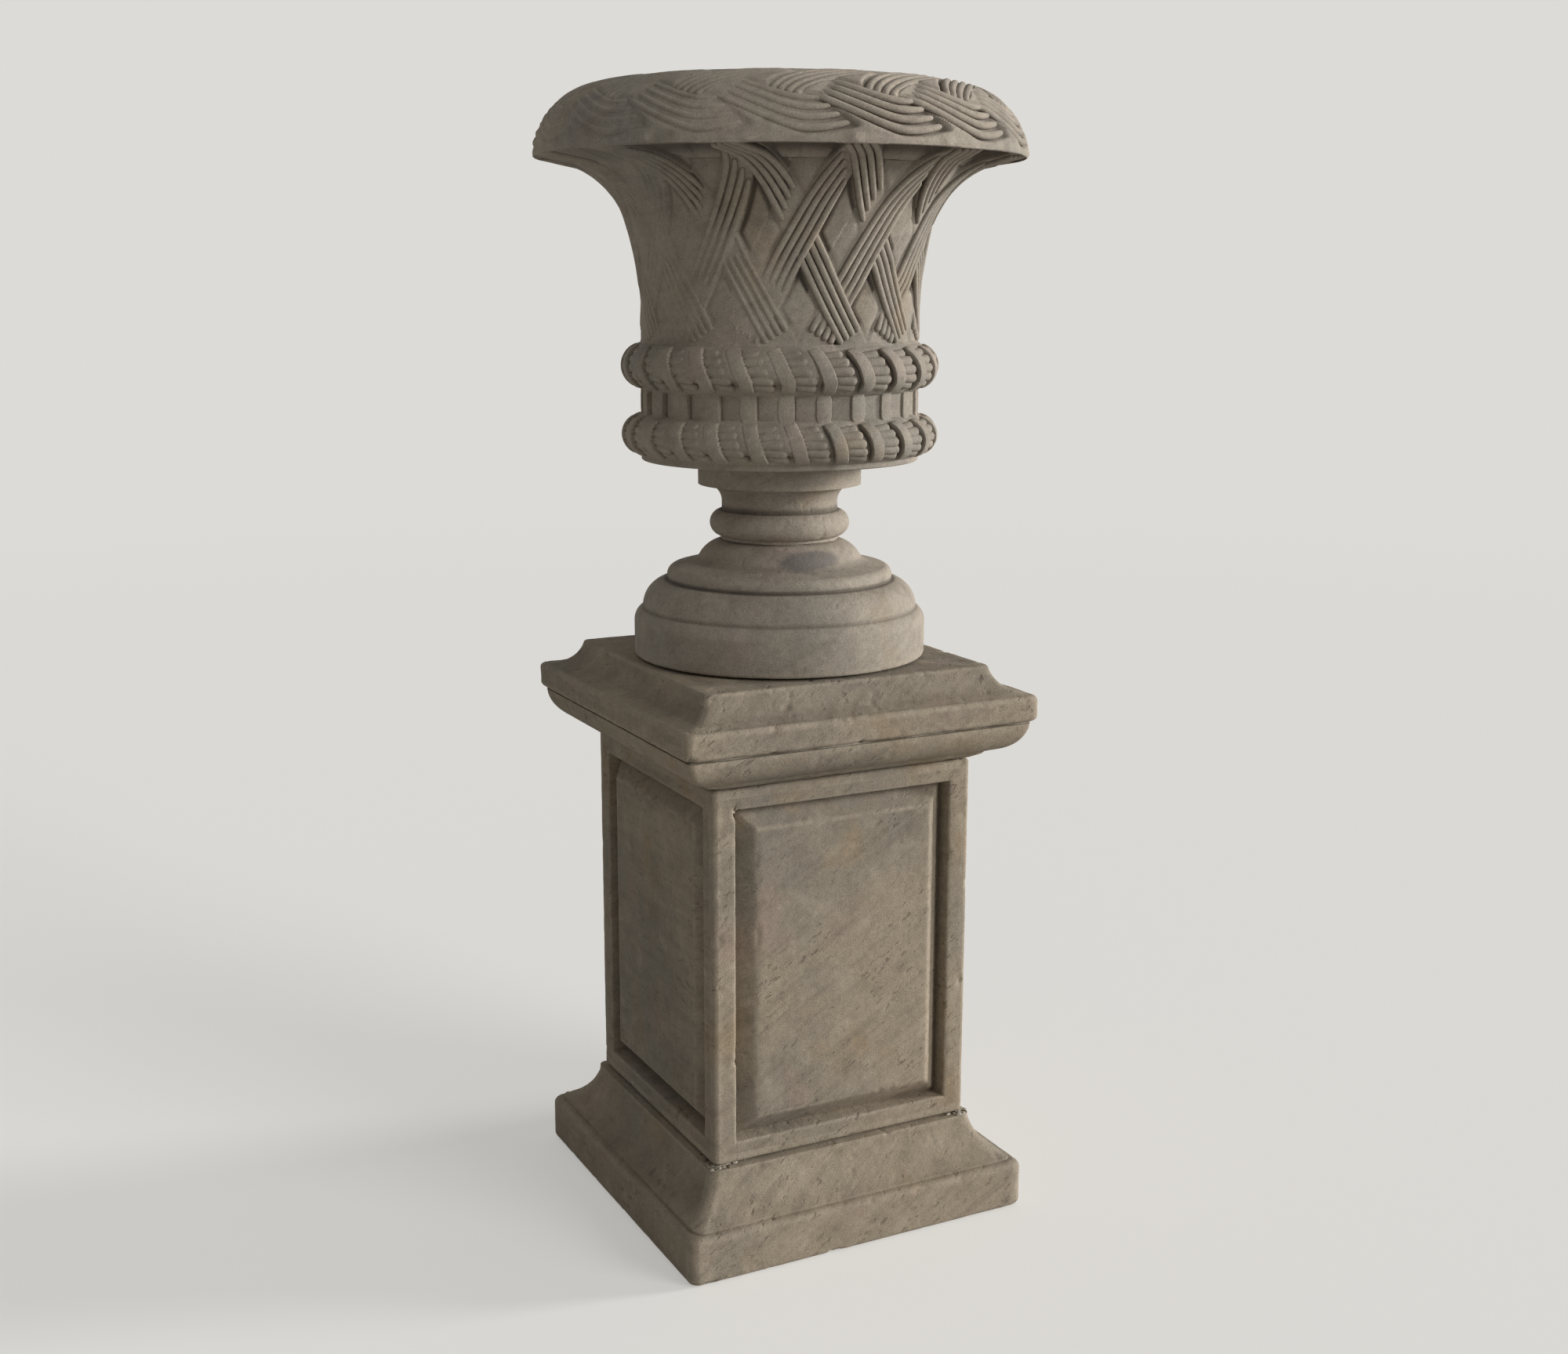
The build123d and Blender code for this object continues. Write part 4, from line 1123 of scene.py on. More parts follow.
@dataclass
class Pedestal:
    """The urn's turned foot and stem."""

    bore: float = 16.3
    disc_radius: float = 202.7
    disc_height: float = 48.0
    disc_arris: float = 3.0
    shoulder: tuple[float, float] = (12.0, 17.5)
    shoulder_sag: float = 3.0
    ovolo: tuple[float, float] = (34.0, 38.5)
    ovolo_sag: float = 10.0
    ledge_edge: float = 6.0
    ledge_round: float = 13.0
    slope: tuple[float, float] = (21.0, 5.0)
    hollow: tuple[float, float] = (13.0, 12.5)
    hollow_sag: float = 1.7
    crown_width: float = 27.0
    crown_sag: float = 3.2
    fillet_radius: float = 81.8
    fillet_height: float = 3.5
    bead_swell: float = 15.95
    bead_height: float = 36.5
    neck_radius: float = 80.3
    neck_height: float = 13.0
    cove: tuple[float, float] = (29.0, 22.0)
    cove_sag: float = 8.0
    stem_disc_radius: float = 112.8
    stem_disc_arris: float = 2.0
    socket_clearance: float = 1.0
    socket_headroom: float = 4.0
    columns: int = 400
    step: float = 2.6
    inner_step: float = 40.0

    def sockets(self) -> dict[str, float]:
        """The sizes of the sockets in the foot, taken from the pins that stand in them."""
        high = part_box("locating_pins")[1]
        radius, ceiling = high.y / MM, high.z / MM + self.socket_headroom
        return {
            "Offset": high.x / MM - radius,
            "Socket Radius": radius + self.socket_clearance,
            "Drill Length": 2.0 * (ceiling - levels("urn_foot")[0]),
            "Ceiling": ceiling,
        }

    def foot(self) -> Shell:
        """The foot: disc, shoulder, ovolo, ledge, slope, hollow and crown."""
        bottom, top = levels("urn_foot")
        out, up = self.disc_radius, bottom + self.disc_height
        outline = Outline(self.bore, bottom, self.step)
        outline.line(out - self.disc_arris, bottom, self.inner_step)
        outline.rounded(out, bottom + self.disc_arris)
        outline.line(out, up)
        for (width, height), sag in (
            (self.shoulder, self.shoulder_sag),
            (self.ovolo, self.ovolo_sag),
            ((0.0, self.ledge_edge), 0.0),
        ):
            out, up = out - width, up + height
            outline.arc(out, up, sag)
        out, up = out - self.ledge_round, up + self.ledge_round
        outline.rounded(out, up)
        for (width, height), sag in ((self.slope, 0.0), (self.hollow, -self.hollow_sag)):
            out, up = out - width, up + height
            outline.arc(out, up, sag)
        outline.arc(out - self.crown_width, top, self.crown_sag)
        outline.line(self.bore, top, self.inner_step)
        outline.line(self.bore, bottom, self.inner_step)
        return stone_shell(outline, RoundPlan(self.columns), loop=True)

    def stem(self) -> Shell:
        """The stem: fillet, bead, neck, cove and disc."""
        bottom, top = levels("urn_stem")
        bead_bottom = bottom + self.fillet_height
        neck_bottom = bead_bottom + self.bead_height
        cove_bottom = neck_bottom + self.neck_height
        disc_bottom = cove_bottom + self.cove[1]
        arris = self.stem_disc_arris
        outline = Outline(self.bore, bottom, self.step)
        outline.line(self.fillet_radius, bottom, self.inner_step)
        outline.line(self.fillet_radius, bead_bottom)
        outline.arc(self.neck_radius, neck_bottom, self.bead_swell)
        outline.line(self.neck_radius, cove_bottom)
        outline.arc(self.neck_radius + self.cove[0], disc_bottom, -self.cove_sag)
        outline.line(self.stem_disc_radius, disc_bottom)
        outline.line(self.stem_disc_radius, top - arris)
        outline.rounded(self.stem_disc_radius - arris, top)
        outline.line(self.bore, top, self.inner_step)
        outline.line(self.bore, bottom, self.inner_step)
        return stone_shell(outline, RoundPlan(self.columns), loop=True)

    def build(self, weathering: Recipe, stone: bpy.types.Material) -> None:
        """Builds the foot and the stem.

        Args:
            weathering: The tree that wears a stone.
            stone: Their material.
        """
        turned = (
            ("foot_stone", "urn_foot", self.foot(), {"Seed": 5.0, "Chip Depth": 2.6}),
            ("stem_stone", "urn_stem", self.stem(), {"Seed": 6.0, "Chip Depth": 1.8}),
        )
        for name, node, shell, sizes in turned:
            piece = weathering.run(shell.piece(name), stone, sizes)
            if node == "urn_foot":
                socket_recipe().run(piece, stone, self.sockets())
            dress(piece, Body.URN, [node])


def rod_section(radius: float, narrow: float = 1.0, flatness: float = 2.0) -> np.ndarray:
    """A round section, as (side, out) from its top towards its right side.

    Args:
        radius: Its radius from top to bottom.
        narrow: Its width as a share of its height.
        flatness: 2 for an ellipse, and more for a flatter top.

    Returns:
        The section's corners.
    """
    angle = np.arange(ROD_SIDES) * math.tau / ROD_SIDES
    side, out = np.sin(angle), np.cos(angle)
    side, out = (np.sign(part) * np.abs(part) ** (2 / flatness) for part in (side, out))
    return radius * np.stack([narrow * side, out], axis=1)


def strap_section(half_width: float, half_thickness: float, wear: float) -> np.ndarray:
    """A flat section with worn upper arrises, as (side, out) from its top towards its right side."""
    right = [(half_width - side * wear, half_thickness - down * wear) for side, down in WORN_ARRIS]
    right.append((half_width, -half_thickness))
    left = [(-side, out) for side, out in reversed(right)]
    return np.array([(0.0, half_thickness), *right, *left])


def sweep(centres: np.ndarray, outs: np.ndarray, section: np.ndarray, swell: np.ndarray) -> Shell:
    """Carries a section along a path over a surface.

    Args:
        centres: The path's points; the first and the last close the ends.
        outs: The surface's outward direction at each point.
        section: The section's corners, as (side, out).
        swell: How large the section is at each point, as a share.

    Returns:
        The closed strand, marked with how sharp its crown is, and with painted shade and grime down
        its sides and underside.
    """
    along = np.gradient(centres, axis=0)
    sides = np.cross(along, outs)
    sides /= np.linalg.norm(sides, axis=1)[:, None]
    spread = section[None, :, :1] * sides[:, None] + section[None, :, 1:] * outs[:, None]
    grid = centres[:, None] + swell[:, None, None] * spread
    crown = section[:, 1] / np.abs(section[:, 1]).max()
    marks = {
        "edge": np.tile(0.5 * np.clip(crown, 0, 1) ** 3, (len(centres), 1)),
        # Painted shade, with some grime, on the strand's sides and underside, away from its crown.
        "shade_and_grime": np.tile(np.clip(0.75 - 0.8 * crown, 0, 1), (len(centres), 1)),
    }
    return lattice(grid, marks, loop=False)


@dataclass
class CarvedBowl:
    """The bowl: plate, two bound rings, strap band, basket-woven bell and rolled rim."""

    bore: float = 16.3
    waist_radius: float = 190.0
    plate_arris: float = 3.0
    plate_height: float = 7.5
    ring_swell: float = 26.5
    lower_ring_height: float = 55.0
    strap_height: float = 33.5
    upper_ring_height: float = 62.0
    waist_height: float = 38.0
    flare_radius: float = 209.0
    flare_height: float = 120.0
    lip_root_radius: float = 275.0
    lip_root_height: float = 70.0
    lip_radius: float = 330.5
    lip_edge: float = 5.5
    lip_rise: float = 11.0
    crest_radius: float = 233.0
    roll_sag: float = 25.0
    mouth_radius: float = 140.0
    mouth_depth: float = 75.0
    floor_thickness: float = 76.0
    floor_fillet: float = 35.0

    columns: int = 720
    step: float = 1.85
    inner_step: float = 30.0
    floor_step: float = 6.0
    mouth_step: float = 3.0
    weave_samples: int = 240
    slash_samples: int = 220
    back_samples: int = 160
    finger_samples: int = 120
    ribbon_samples: int = 60
    reed_samples: int = 40
    hook_samples: int = 120
    plume_samples: int = 110

    weave_repeats: int = 12
    weave_lanes: int = 4
    weave_pitch: float = 10.0
    weave_rod: float = 5.4
    weave_narrow: float = 0.88
    weave_flatness: float = 2.6
    weave_dip: float = 6.0
    weave_dip_reach: float = 0.45
    weave_ground: float = 10.5
    weave_foot_run: float = 221.0
    weave_lip_gap: float = 4.0
    crevice_place: float = 3.0
    crevice_half_width: float = 5.0
    ground_width: float = 85.0
    hollow_runs: tuple[float, float] = (412.0, 466.0)
    # Runs over which painted shade darkens the underside of the lip.
    lip_shade_runs: tuple[float, float] = (440.0, 476.0)
    slash_top: float = 19.3
    slash_lean: float = 0.19
    slash_bend: float = 90.0
    back_top: float = -7.6
    back_lean: float = 0.115
    back_bend: float = 1.3e-4
    finger_gap: float = 33.0
    finger_lip_gap: float = 10.0
    finger_taper: float = 0.3
    tip_gap: float = 25.0
    tip_taper: float = 0.35
    strand_step: float = 3.4
    strand_end_stops: int = 5
    strand_point: float = 1e-4

    ring_repeats: int = 24
    ring_lanes: int = 5
    reed_rod: float = 7.4
    reed_root: float = 5.5
    reed_fall: float = 1.2
    reed_lift: float = 0.2
    reed_overlap: float = 2.0
    ribbon_half_width: float = 9.3
    ribbon_half_thickness: float = 4.5
    ribbon_wear: float = 1.4
    ribbon_end_gap: float = 3.0
    ribbon_strap_gap: float = 2.0
    ribbon_straight: float = 28.0
    ribbon_upper_lean: float = 0.108
    ribbon_lower_lean: float = 0.075
    strap_half_width: float = 11.0
    strap_overlap: float = 4.0
    ribbon_turn: float = 6.0
    upper_reach: float = 7.8
    lower_reach: float = 8.1

    rim_repeats: int = 16
    rim_rod: float = 5.7
    rim_ground: float = 6.5
    rim_sink: float = 6.0
    taper_length: float = 34.0
    hook_strands: int = 4
    hook_turn: float = 51.0
    hook_level: float = 14.0
    hook_rise: float = 13.6
    hook_left: float = 3.0
    hook_right: float = 1.6
    hook_bend: float = 6.0
    hook_blend: float = 0.5
    hook_lift: float = -0.4
    hook_root: float = 7.0
    hook_taper: float = 0.4
    hook_start: float = -25.0
    hook_start_drift: float = 1.4
    hook_tip: float = 9.0
    hook_tip_drift: float = -1.9
    plume_strands: int = 4
    plume_turn: float = 45.6
    plume_level: float = 57.0
    plume_top: float = 141.0
    plume_pitch: float = 10.0
    plume_lean: float = 0.0236
    plume_bend: float = 0.0038
    plume_lift: float = 0.2
    plume_root: float = 9.0
    plume_end: tuple[float, float] = (74.0, 10.0)
    nib_offset: float = 0.7
    nib_half_turn: float = 2.2

    weather_side: float = -70.0
    splash_runs: tuple[float, float] = (280.0, 390.0)
    splash_share: float = 0.27
    bare_from: tuple[float, float] = (0.8, 0.975)
    rubbed_from: tuple[float, float] = (0.475, 0.605)
    rim_worn_from: tuple[float, float] = (0.44, 0.76)

    def __post_init__(self) -> None:
        """Draws the outside and notes where its parts begin, as runs."""
        self.bottom, self.top = levels("urn_bowl")
        ring_bottom = self.bottom + self.plate_height
        strap_bottom = ring_bottom + self.lower_ring_height
        strap_top = strap_bottom + self.strap_height
        bell_bottom = strap_top + self.upper_ring_height
        flare_bottom = bell_bottom + self.waist_height
        root_bottom = flare_bottom + self.flare_height
        slope_bottom = root_bottom + self.lip_root_height
        lip_bottom = slope_bottom + self.lip_rise
        self.bell_bottom, self.slope_bottom = bell_bottom, slope_bottom
        waist = self.waist_radius
        outline = Outline(waist, self.bottom + self.plate_arris, self.step)
        marks = []

        def note() -> None:
            """Notes how far the outline has come."""
            marks.append(len(outline.points) - 1)

        outline.line(waist, ring_bottom)
        note()
        outline.arc(waist, strap_bottom, self.ring_swell)
        note()
        outline.line(waist, strap_top)
        note()
        outline.arc(waist, bell_bottom, self.ring_swell)
        note()
        outline.line(waist, flare_bottom)
        outline.flowing(self.flare_radius, root_bottom)
        outline.flowing(self.lip_root_radius, slope_bottom)
        note()
        outline.line(self.lip_radius - self.lip_edge, lip_bottom)
        outline.rounded(self.lip_radius, lip_bottom + self.lip_edge)
        note()
        outline.arc(self.crest_radius, self.top, self.roll_sag)
        self.outside = outline.samples()
        self.runs = running_length(self.outside)
        self.marks = marks
        places = self.runs[marks]
        self.ring_run, self.strap_run, self.upper_run, self.bell_run = places[:4]
        self.slope_run, self.lip_run = places[4:6]
        self.rings = (
            (self.ring_run, self.strap_run, self.lower_reach),
            (self.upper_run, self.bell_run, self.upper_reach),
        )
        lean = np.gradient(self.outside, self.runs, axis=0)
        lean /= np.linalg.norm(lean, axis=1)[:, None]
        self.facing = np.stack([lean[:, 1], -lean[:, 0]], axis=1)

    def surface(self, turn: np.ndarray, run: np.ndarray) -> tuple[np.ndarray, np.ndarray]:
        """Points on the outside and the directions that it faces there."""
        out, up = (np.interp(run, self.runs, self.outside[:, i]) for i in range(2))
        face_out, face_up = (np.interp(run, self.runs, self.facing[:, i]) for i in range(2))
        angle = np.radians(FACING_TURN + turn)
        points = np.stack([out * np.cos(angle), out * np.sin(angle), up], axis=-1)
        faces = np.stack([face_out * np.cos(angle), face_out * np.sin(angle), face_up], axis=-1)
        return points, faces / np.linalg.norm(faces, axis=-1)[..., None]

    def slash_turn(self, run: Any) -> Any:
        """Where a band that leans to the right has its middle, for numbers or wires."""
        drop = most(self.slope_run - run, 0.0)
        reach = root(drop * drop + self.slash_bend ** 2) - self.slash_bend
        return self.slash_top - self.slash_lean * reach

    def back_turn(self, run: Any) -> Any:
        """Where a band that leans to the left has its middle, for numbers or wires."""
        drop = self.slope_run - run
        return self.back_top + drop * (self.back_lean + self.back_bend * drop)

    def phase(self, run: Any) -> Any:
        """Counts the levels where the bands cross; a whole number is a crossing."""
        return (self.slash_turn(run) - self.back_turn(run)) * (self.weave_repeats / 360.0)

    def across(self, offset: Any, lean: Any, radius: Any) -> Any:
        """Width between a place and a band's middle, square to the band.

        Args:
            offset: The turn between them.
            lean: Turn that the band gains with each millimetre of run.
            radius: The surface's radius there.

        Returns:
            The width in millimetres.
        """
        degree = radius * math.radians(1.0)
        slope = degree * lean
        return offset * degree / root(slope * slope + 1.0)

    def slash_across(self, turn: Any, run: Any, radius: Any) -> Any:
        """Width between a place and the middle of the nearest band that leans to the right."""
        drop = most(self.slope_run - run, 0.0)
        lean = self.slash_lean * drop / root(drop * drop + self.slash_bend ** 2)
        half = 180.0 / self.weave_repeats
        offset = turn - self.slash_turn(run)
        offset = offset.wrap(-half, half) if isinstance(offset, Wire) else offset
        return self.across(offset, lean, radius)

    def back_across(self, turn: Wire, run: Wire, radius: Wire) -> Wire:
        """Width between a place and the middle of the nearest band that leans to the left."""
        lean = self.back_lean + 2 * self.back_bend * (self.slope_run - run)
        half = 180.0 / self.weave_repeats
        return self.across((turn - self.back_turn(run)).wrap(-half, half), lean, radius)

    def ribbon_edge(self, run: Any) -> Any:
        """Turn of the right edge of the ribbon that binds the rings, for numbers or wires."""
        straight_end = self.upper_run + self.ribbon_straight
        upper = most(run - straight_end, 0.0) * self.ribbon_upper_lean
        lower = most(self.strap_run - run, 0.0) * self.ribbon_lower_lean
        return self.ribbon_turn - upper + lower

    def strand(
        self, turn: np.ndarray, run: np.ndarray, depth: np.ndarray, section: np.ndarray,
        lane: float = 0.0, taper: float = 0.0,
    ) -> Shell:
        """Lays one strand with rounded ends on the outside.

        Args:
            turn: The path's turns.
            run: The path's runs.
            depth: Depth of the strand's middle at each point.
            section: The strand's section, as (side, out).
            lane: How far to the right of the path it lies.
            taper: Share by which it is thinner at its end.

        Returns:
            The closed strand.
        """
        radius = np.interp(run, self.runs, self.outside[:, 0])
        step_round, step_up = np.gradient(np.radians(turn)) * radius, np.gradient(run)
        length = np.hypot(step_round, step_up)
        turn = turn + np.degrees(lane * step_up / length / radius)
        run = run - lane * step_round / length
        points, _ = self.surface(turn, run)
        gone = running_length(points)
        cap = float(np.abs(section).max())
        rounding = cap * (1 - np.cos(np.linspace(0, math.pi / 2, self.strand_end_stops)))
        count = max(2, math.ceil((gone[-1] - 2 * cap) / self.strand_step) + 1)
        middle = np.linspace(cap, gone[-1] - cap, count)
        stops = np.concatenate([rounding[:-1], middle, gone[-1] - rounding[-2::-1]])
        from_end = np.minimum(stops, gone[-1] - stops)
        swell = np.sqrt(np.clip(1 - (1 - from_end / cap).clip(0) ** 2, self.strand_point, 1))
        swell *= 1 - taper * np.clip(1 - (gone[-1] - stops) / self.taper_length, 0, 1) ** 2
        points, outs = self.surface(np.interp(stops, gone, turn), np.interp(stops, gone, run))
        centres = points - np.interp(stops, gone, depth)[:, None] * outs
        return sweep(centres, outs, section, swell)

    def dip(self, phase: np.ndarray) -> np.ndarray:
        """How deep a band passes under another, by its phase from their crossing."""
        share = np.clip(phase / self.weave_dip_reach, -1.0, 1.0)
        return self.weave_dip * (0.5 + 0.5 * np.cos(math.pi * share))

    def weave(self) -> tuple[Shell, Shell]:
        """One repeat of the bell's weave: the strands that lean right, and those that lean left."""
        section = rod_section(self.weave_rod, self.weave_narrow, self.weave_flatness)
        lanes = (np.arange(self.weave_lanes) - (self.weave_lanes - 1) / 2) * self.weave_pitch
        lip = self.lip_run - self.weave_lip_gap
        run = np.linspace(self.weave_foot_run, lip, self.weave_samples)
        radius = np.interp(run, self.runs, self.outside[:, 0])
        crossing = float(np.interp(0.0, self.phase(run), run))
        slashes, backs = [], []
        for lane in lanes:
            aside = np.degrees(lane / radius)
            to_next = self.slash_turn(run) + aside - self.back_turn(run) - 360.0 / self.weave_repeats
            top = float(np.interp(-self.tip_gap, self.across(to_next, self.back_lean, radius), run))
            part = np.linspace(self.weave_foot_run, top, self.slash_samples)
            depth = self.weave_rod + self.dip(self.phase(part) + 1.0)
            turn = self.slash_turn(part)
            slashes.append(self.strand(turn, part, depth, section, lane, self.tip_taper))
            part = np.linspace(self.weave_foot_run, crossing, self.back_samples)
            depth = self.weave_rod + self.dip(self.phase(part))
            backs.append(self.strand(self.back_turn(part), part, depth, section, lane))
            gap = self.slash_across(self.back_turn(run) + aside, run, radius)
            tip = float(np.interp(self.finger_gap, -gap, run))
            part = np.linspace(lip - self.finger_lip_gap, tip, self.finger_samples)
            depth = np.full_like(part, self.weave_rod)
            turn = self.back_turn(part)
            backs.append(self.strand(turn, part, depth, section, -lane, self.finger_taper))
        return Shell.joined(slashes), Shell.joined(backs)

    def binding(self) -> Shell:
        """One repeat of the rings and their band: reeds, ribbons and strap."""
        found = []
        end, band, over = self.ribbon_end_gap, self.ribbon_strap_gap, self.strap_overlap
        for low, high, half_width in (
            (self.ring_run + end, self.strap_run - band, self.ribbon_half_width),
            (self.strap_run - over, self.upper_run + over, self.strap_half_width),
            (self.upper_run + band, self.bell_run - end, self.ribbon_half_width),
        ):
            strap = strap_section(half_width, self.ribbon_half_thickness, self.ribbon_wear)
            half_turn = math.degrees(half_width / self.waist_radius)
            run = np.linspace(low, high, self.ribbon_samples)
            depth = np.full_like(run, self.ribbon_half_thickness)
            found.append(self.strand(self.ribbon_edge(run) - half_turn, run, depth, strap))
        reed = rod_section(self.reed_rod)
        share = np.linspace(0.0, 1.0, self.reed_samples)
        depth = self.reed_rod - self.reed_lift + self.reed_root * (1 - share) ** self.reed_fall
        for low, high, reach in self.rings:
            pitch = (high - low) / (self.ring_lanes + 1)
            for lane in range(1, self.ring_lanes + 1):
                run = np.full_like(share, low + lane * pitch)
                start = self.ribbon_edge(run) - self.reed_overlap
                turn = start + share * (reach + self.reed_overlap)
                found.append(self.strand(turn, run, depth, reed))
        return Shell.joined(found)

    def hook_line(self, offset: Any) -> Any:
        """Height of a rim hook over its lowest point, by the turn from that point."""
        reach = root(offset * offset + self.hook_bend ** 2) - self.hook_bend
        half = (self.hook_right - self.hook_left) / 2
        middle = (self.hook_right + self.hook_left) / 2
        side = offset / root(offset * offset + self.hook_blend)
        return reach * (middle + half * side)

    def plume_line(self, rise: Any) -> Any:
        """Turn that a rim plume gains by its rise."""
        return rise * (self.plume_lean + self.plume_bend * rise)

    def rim_strands(self) -> Shell:
        """One repeat of the rim's carving: strands that hook up at the right, and plumes over them."""
        section = rod_section(self.rim_rod)
        found = []
        for number in range(self.hook_strands):
            start = self.hook_start + self.hook_start_drift * number
            tip = self.hook_tip + self.hook_tip_drift * number
            offset = np.linspace(start, tip, self.hook_samples)
            height = self.hook_level + self.hook_rise * number + self.hook_line(offset)
            sunk = np.clip((start + self.hook_root - offset) / self.hook_root, 0, 1)
            depth = self.rim_rod - self.hook_lift + self.rim_sink * sunk
            turn, run = self.hook_turn + offset, self.lip_run + height
            found.append(self.strand(turn, run, depth, section, taper=self.hook_taper))
        lanes = (np.arange(self.plume_strands) - (self.plume_strands - 1) / 2) * self.plume_pitch
        rise = np.linspace(0.0, self.plume_top - self.plume_level, self.plume_samples)
        end, end_length = self.plume_end
        sunk = np.clip((self.plume_root - rise) / self.plume_root, 0, 1)
        sunk += np.clip((rise - end) / end_length, 0, 1)
        depth = self.rim_rod - self.plume_lift + self.rim_sink * sunk
        turn, run = self.plume_turn + self.plume_line(rise), self.lip_run + self.plume_level + rise
        found += [self.strand(turn, run, depth, section, lane) for lane in lanes]
        return Shell.joined(found)

    def carving_recipe(self) -> Recipe:
        """The tree that cuts the ground of the carving back from the bowl's outside, and marks painted
        shade and grime in the cuts.
        """
        sizes = {
            "Weave Ground": self.weave_ground, "Ground Rise": 5.5, "Crevice": 4.5, "Lip Hollow": 13.0,
            "Ring Step": 6.0, "Ring Gap": 3.0, "Strap Step": 6.5,
            "Rim Ground": self.rim_ground, "Lip Wear": 2.0, "Weathered": 0.8, "Rim Worn": 0.68,
            "Tooling": 0.5, "Seed": 7.0,
        }
        recipe = Recipe("carving", sizes)
        graph, given = recipe.graph, recipe.given
        turn, run, radius = (recipe.mark(name) for name in ("turn", "run", "radius"))
        bare = 0.5 + 0.5 * graph.math("COSINE", (turn - self.weather_side) * math.radians(1.0))
        splash = self.splash_share * (1 - run.ramp(*self.splash_runs))
        crisp = 1 - given("Weathered") * (bare + splash).ramp(*self.bare_from)
        bell, crevice_and_lip_shade = self.bell_cut(recipe, turn, run, radius)
        bound, creased = self.binding_cut(recipe, turn, run, bare.ramp(*self.rubbed_from))
        rim = 1 - given("Rim Worn") * bare.ramp(*self.rim_worn_from)
        rim = self.rim_cut(turn, run, radius) * rim
        lip = given("Lip Wear") * self.lip_wear(turn, run)
        depth = bell * crisp + bound + rim * given("Rim Ground") + lip
        tool_size, swell_size = 9.0, 70.0
        tooling = graph.noise(recipe.place, tool_size, given("Seed"), 2.0)
        swells = graph.noise(recipe.place, swell_size, given("Seed") + 4.0, 2.0)
        sunk = depth + given("Tooling") * (tooling + swells) * run.ramp(-0.6, -0.1)
        carved = recipe.push(given("Geometry"), recipe.mark("facing", "FLOAT_VECTOR"), sunk * -1.0)
        # Painted shade with grime for the material: darker with the depth of the cut, in the crevices
        # beside the bands, under the lip, in the rim's cuts and in the ribbons' creases.
        dark_depth, rim_shade_and_grime, crease_shade_and_grime = 40.0, 0.5, 0.7
        dark = crevice_and_lip_shade * (0.3 + 0.6 * crisp)
        shaded = depth / dark_depth + dark + rim * rim_shade_and_grime + creased * crease_shade_and_grime
        return recipe.close(recipe.keep(carved, "shade_and_grime", shaded))

    def bell_cut(self, recipe: Recipe, turn: Wire, run: Wire, radius: Wire) -> tuple[Wire, Wire]:
        """The ground of the bell's weave.

        Args:
            recipe: The tree of the carving.
            turn: Turn of a place on the outside.
            run: Its run.
            radius: Its radius.

        Returns:
            How deep the ground is cut before it is worn, and how much painted shade, with some grime,
            lies in the crevice beside a band and under the lip.
        """
        given = recipe.given
        half_band = self.weave_lanes * self.weave_pitch / 2
        slash = self.slash_across(turn, run, radius)
        edge = least(abs(slash), abs(self.back_across(turn, run, radius))) - half_band
        # The crevice beside a band is cut deeper and darkened with painted shade and grime, most at a
        # right-leaning band's right side.
        crevice = most(1 - abs(edge - self.crevice_place) / self.crevice_half_width, 0.0)
        crevice = crevice * (0.35 + 0.65 * slash.ramp(-4.0, 4.0))
        hollow = run.ramp(*self.hollow_runs) * edge.ramp(0.0, 7.0)
        to_right = slash.wrap(half_band, half_band + self.ground_width) - half_band
        rise = given("Ground Rise") * to_right.ramp(2.0, 34.0)
        ground = given("Weave Ground") - rise
        ground = ground + given("Crevice") * crevice + given("Lip Hollow") * hollow
        start, lip = self.bell_run, self.lip_run
        on_bell = run.span((start, start + 5.0), (lip - 12.0, lip - 7.0))
        # Painted shade on the underside of the lip.
        soffit = run.span(self.lip_shade_runs, (lip - 7.0, lip - 2.0)) * edge.ramp(-2.0, 5.0)
        return ground * on_bell, crevice * on_bell + soffit

    def binding_cut(self, recipe: Recipe, turn: Wire, run: Wire, rubbed: Wire) -> tuple[Wire, Wire]:
        """The ground of the rings and of the strap band between them.

        Args:
            recipe: The tree of the carving.
            turn: Turn of a place on the outside.
            run: Its run.
            rubbed: How far the bindings are rubbed down there.

        Returns:
            How deep the ground is cut, and how near it lies to a ribbon's edge, where the crease is
            darkened with painted shade and grime.
        """
        given, pitch = recipe.given, 360.0 / self.ring_repeats
        ribbon = math.degrees(2 * self.ribbon_half_width / self.waist_radius)
        beyond = (turn - self.ribbon_edge(run)).wrap(0.0, pitch)
        crease = most(1 - beyond / 0.8, 0.0)
        under = (pitch - beyond).ramp(0.0, ribbon - 0.6)
        slope = most(1 - beyond / (pitch - ribbon), 0.1)
        low, high = self.strap_run, self.upper_run
        on_strap = run.span((low, low + 1.0), (high - 1.0, high))
        level = 0.45 * (1 - rubbed)
        depth = (given("Strap Step") * (level + (1 - level) * slope) + crease) * on_strap
        creased = crease * on_strap
        for low, high, reach in self.rings:
            share = (run - low) / (high - low)
            swell = least(most(share * (1 - share) * 6.0, 0.0), 1.0)
            gap = beyond.ramp(reach - 2.4, reach - 1.2) * under
            fresh = given("Ring Step") + given("Ring Gap") * gap
            worn = (given("Ring Step") * slope - fresh) * rubbed * share.ramp(0.15, 0.45)
            depth = depth + (fresh + worn + 1.5 * crease) * swell
            creased = creased + crease * swell
        return depth, creased

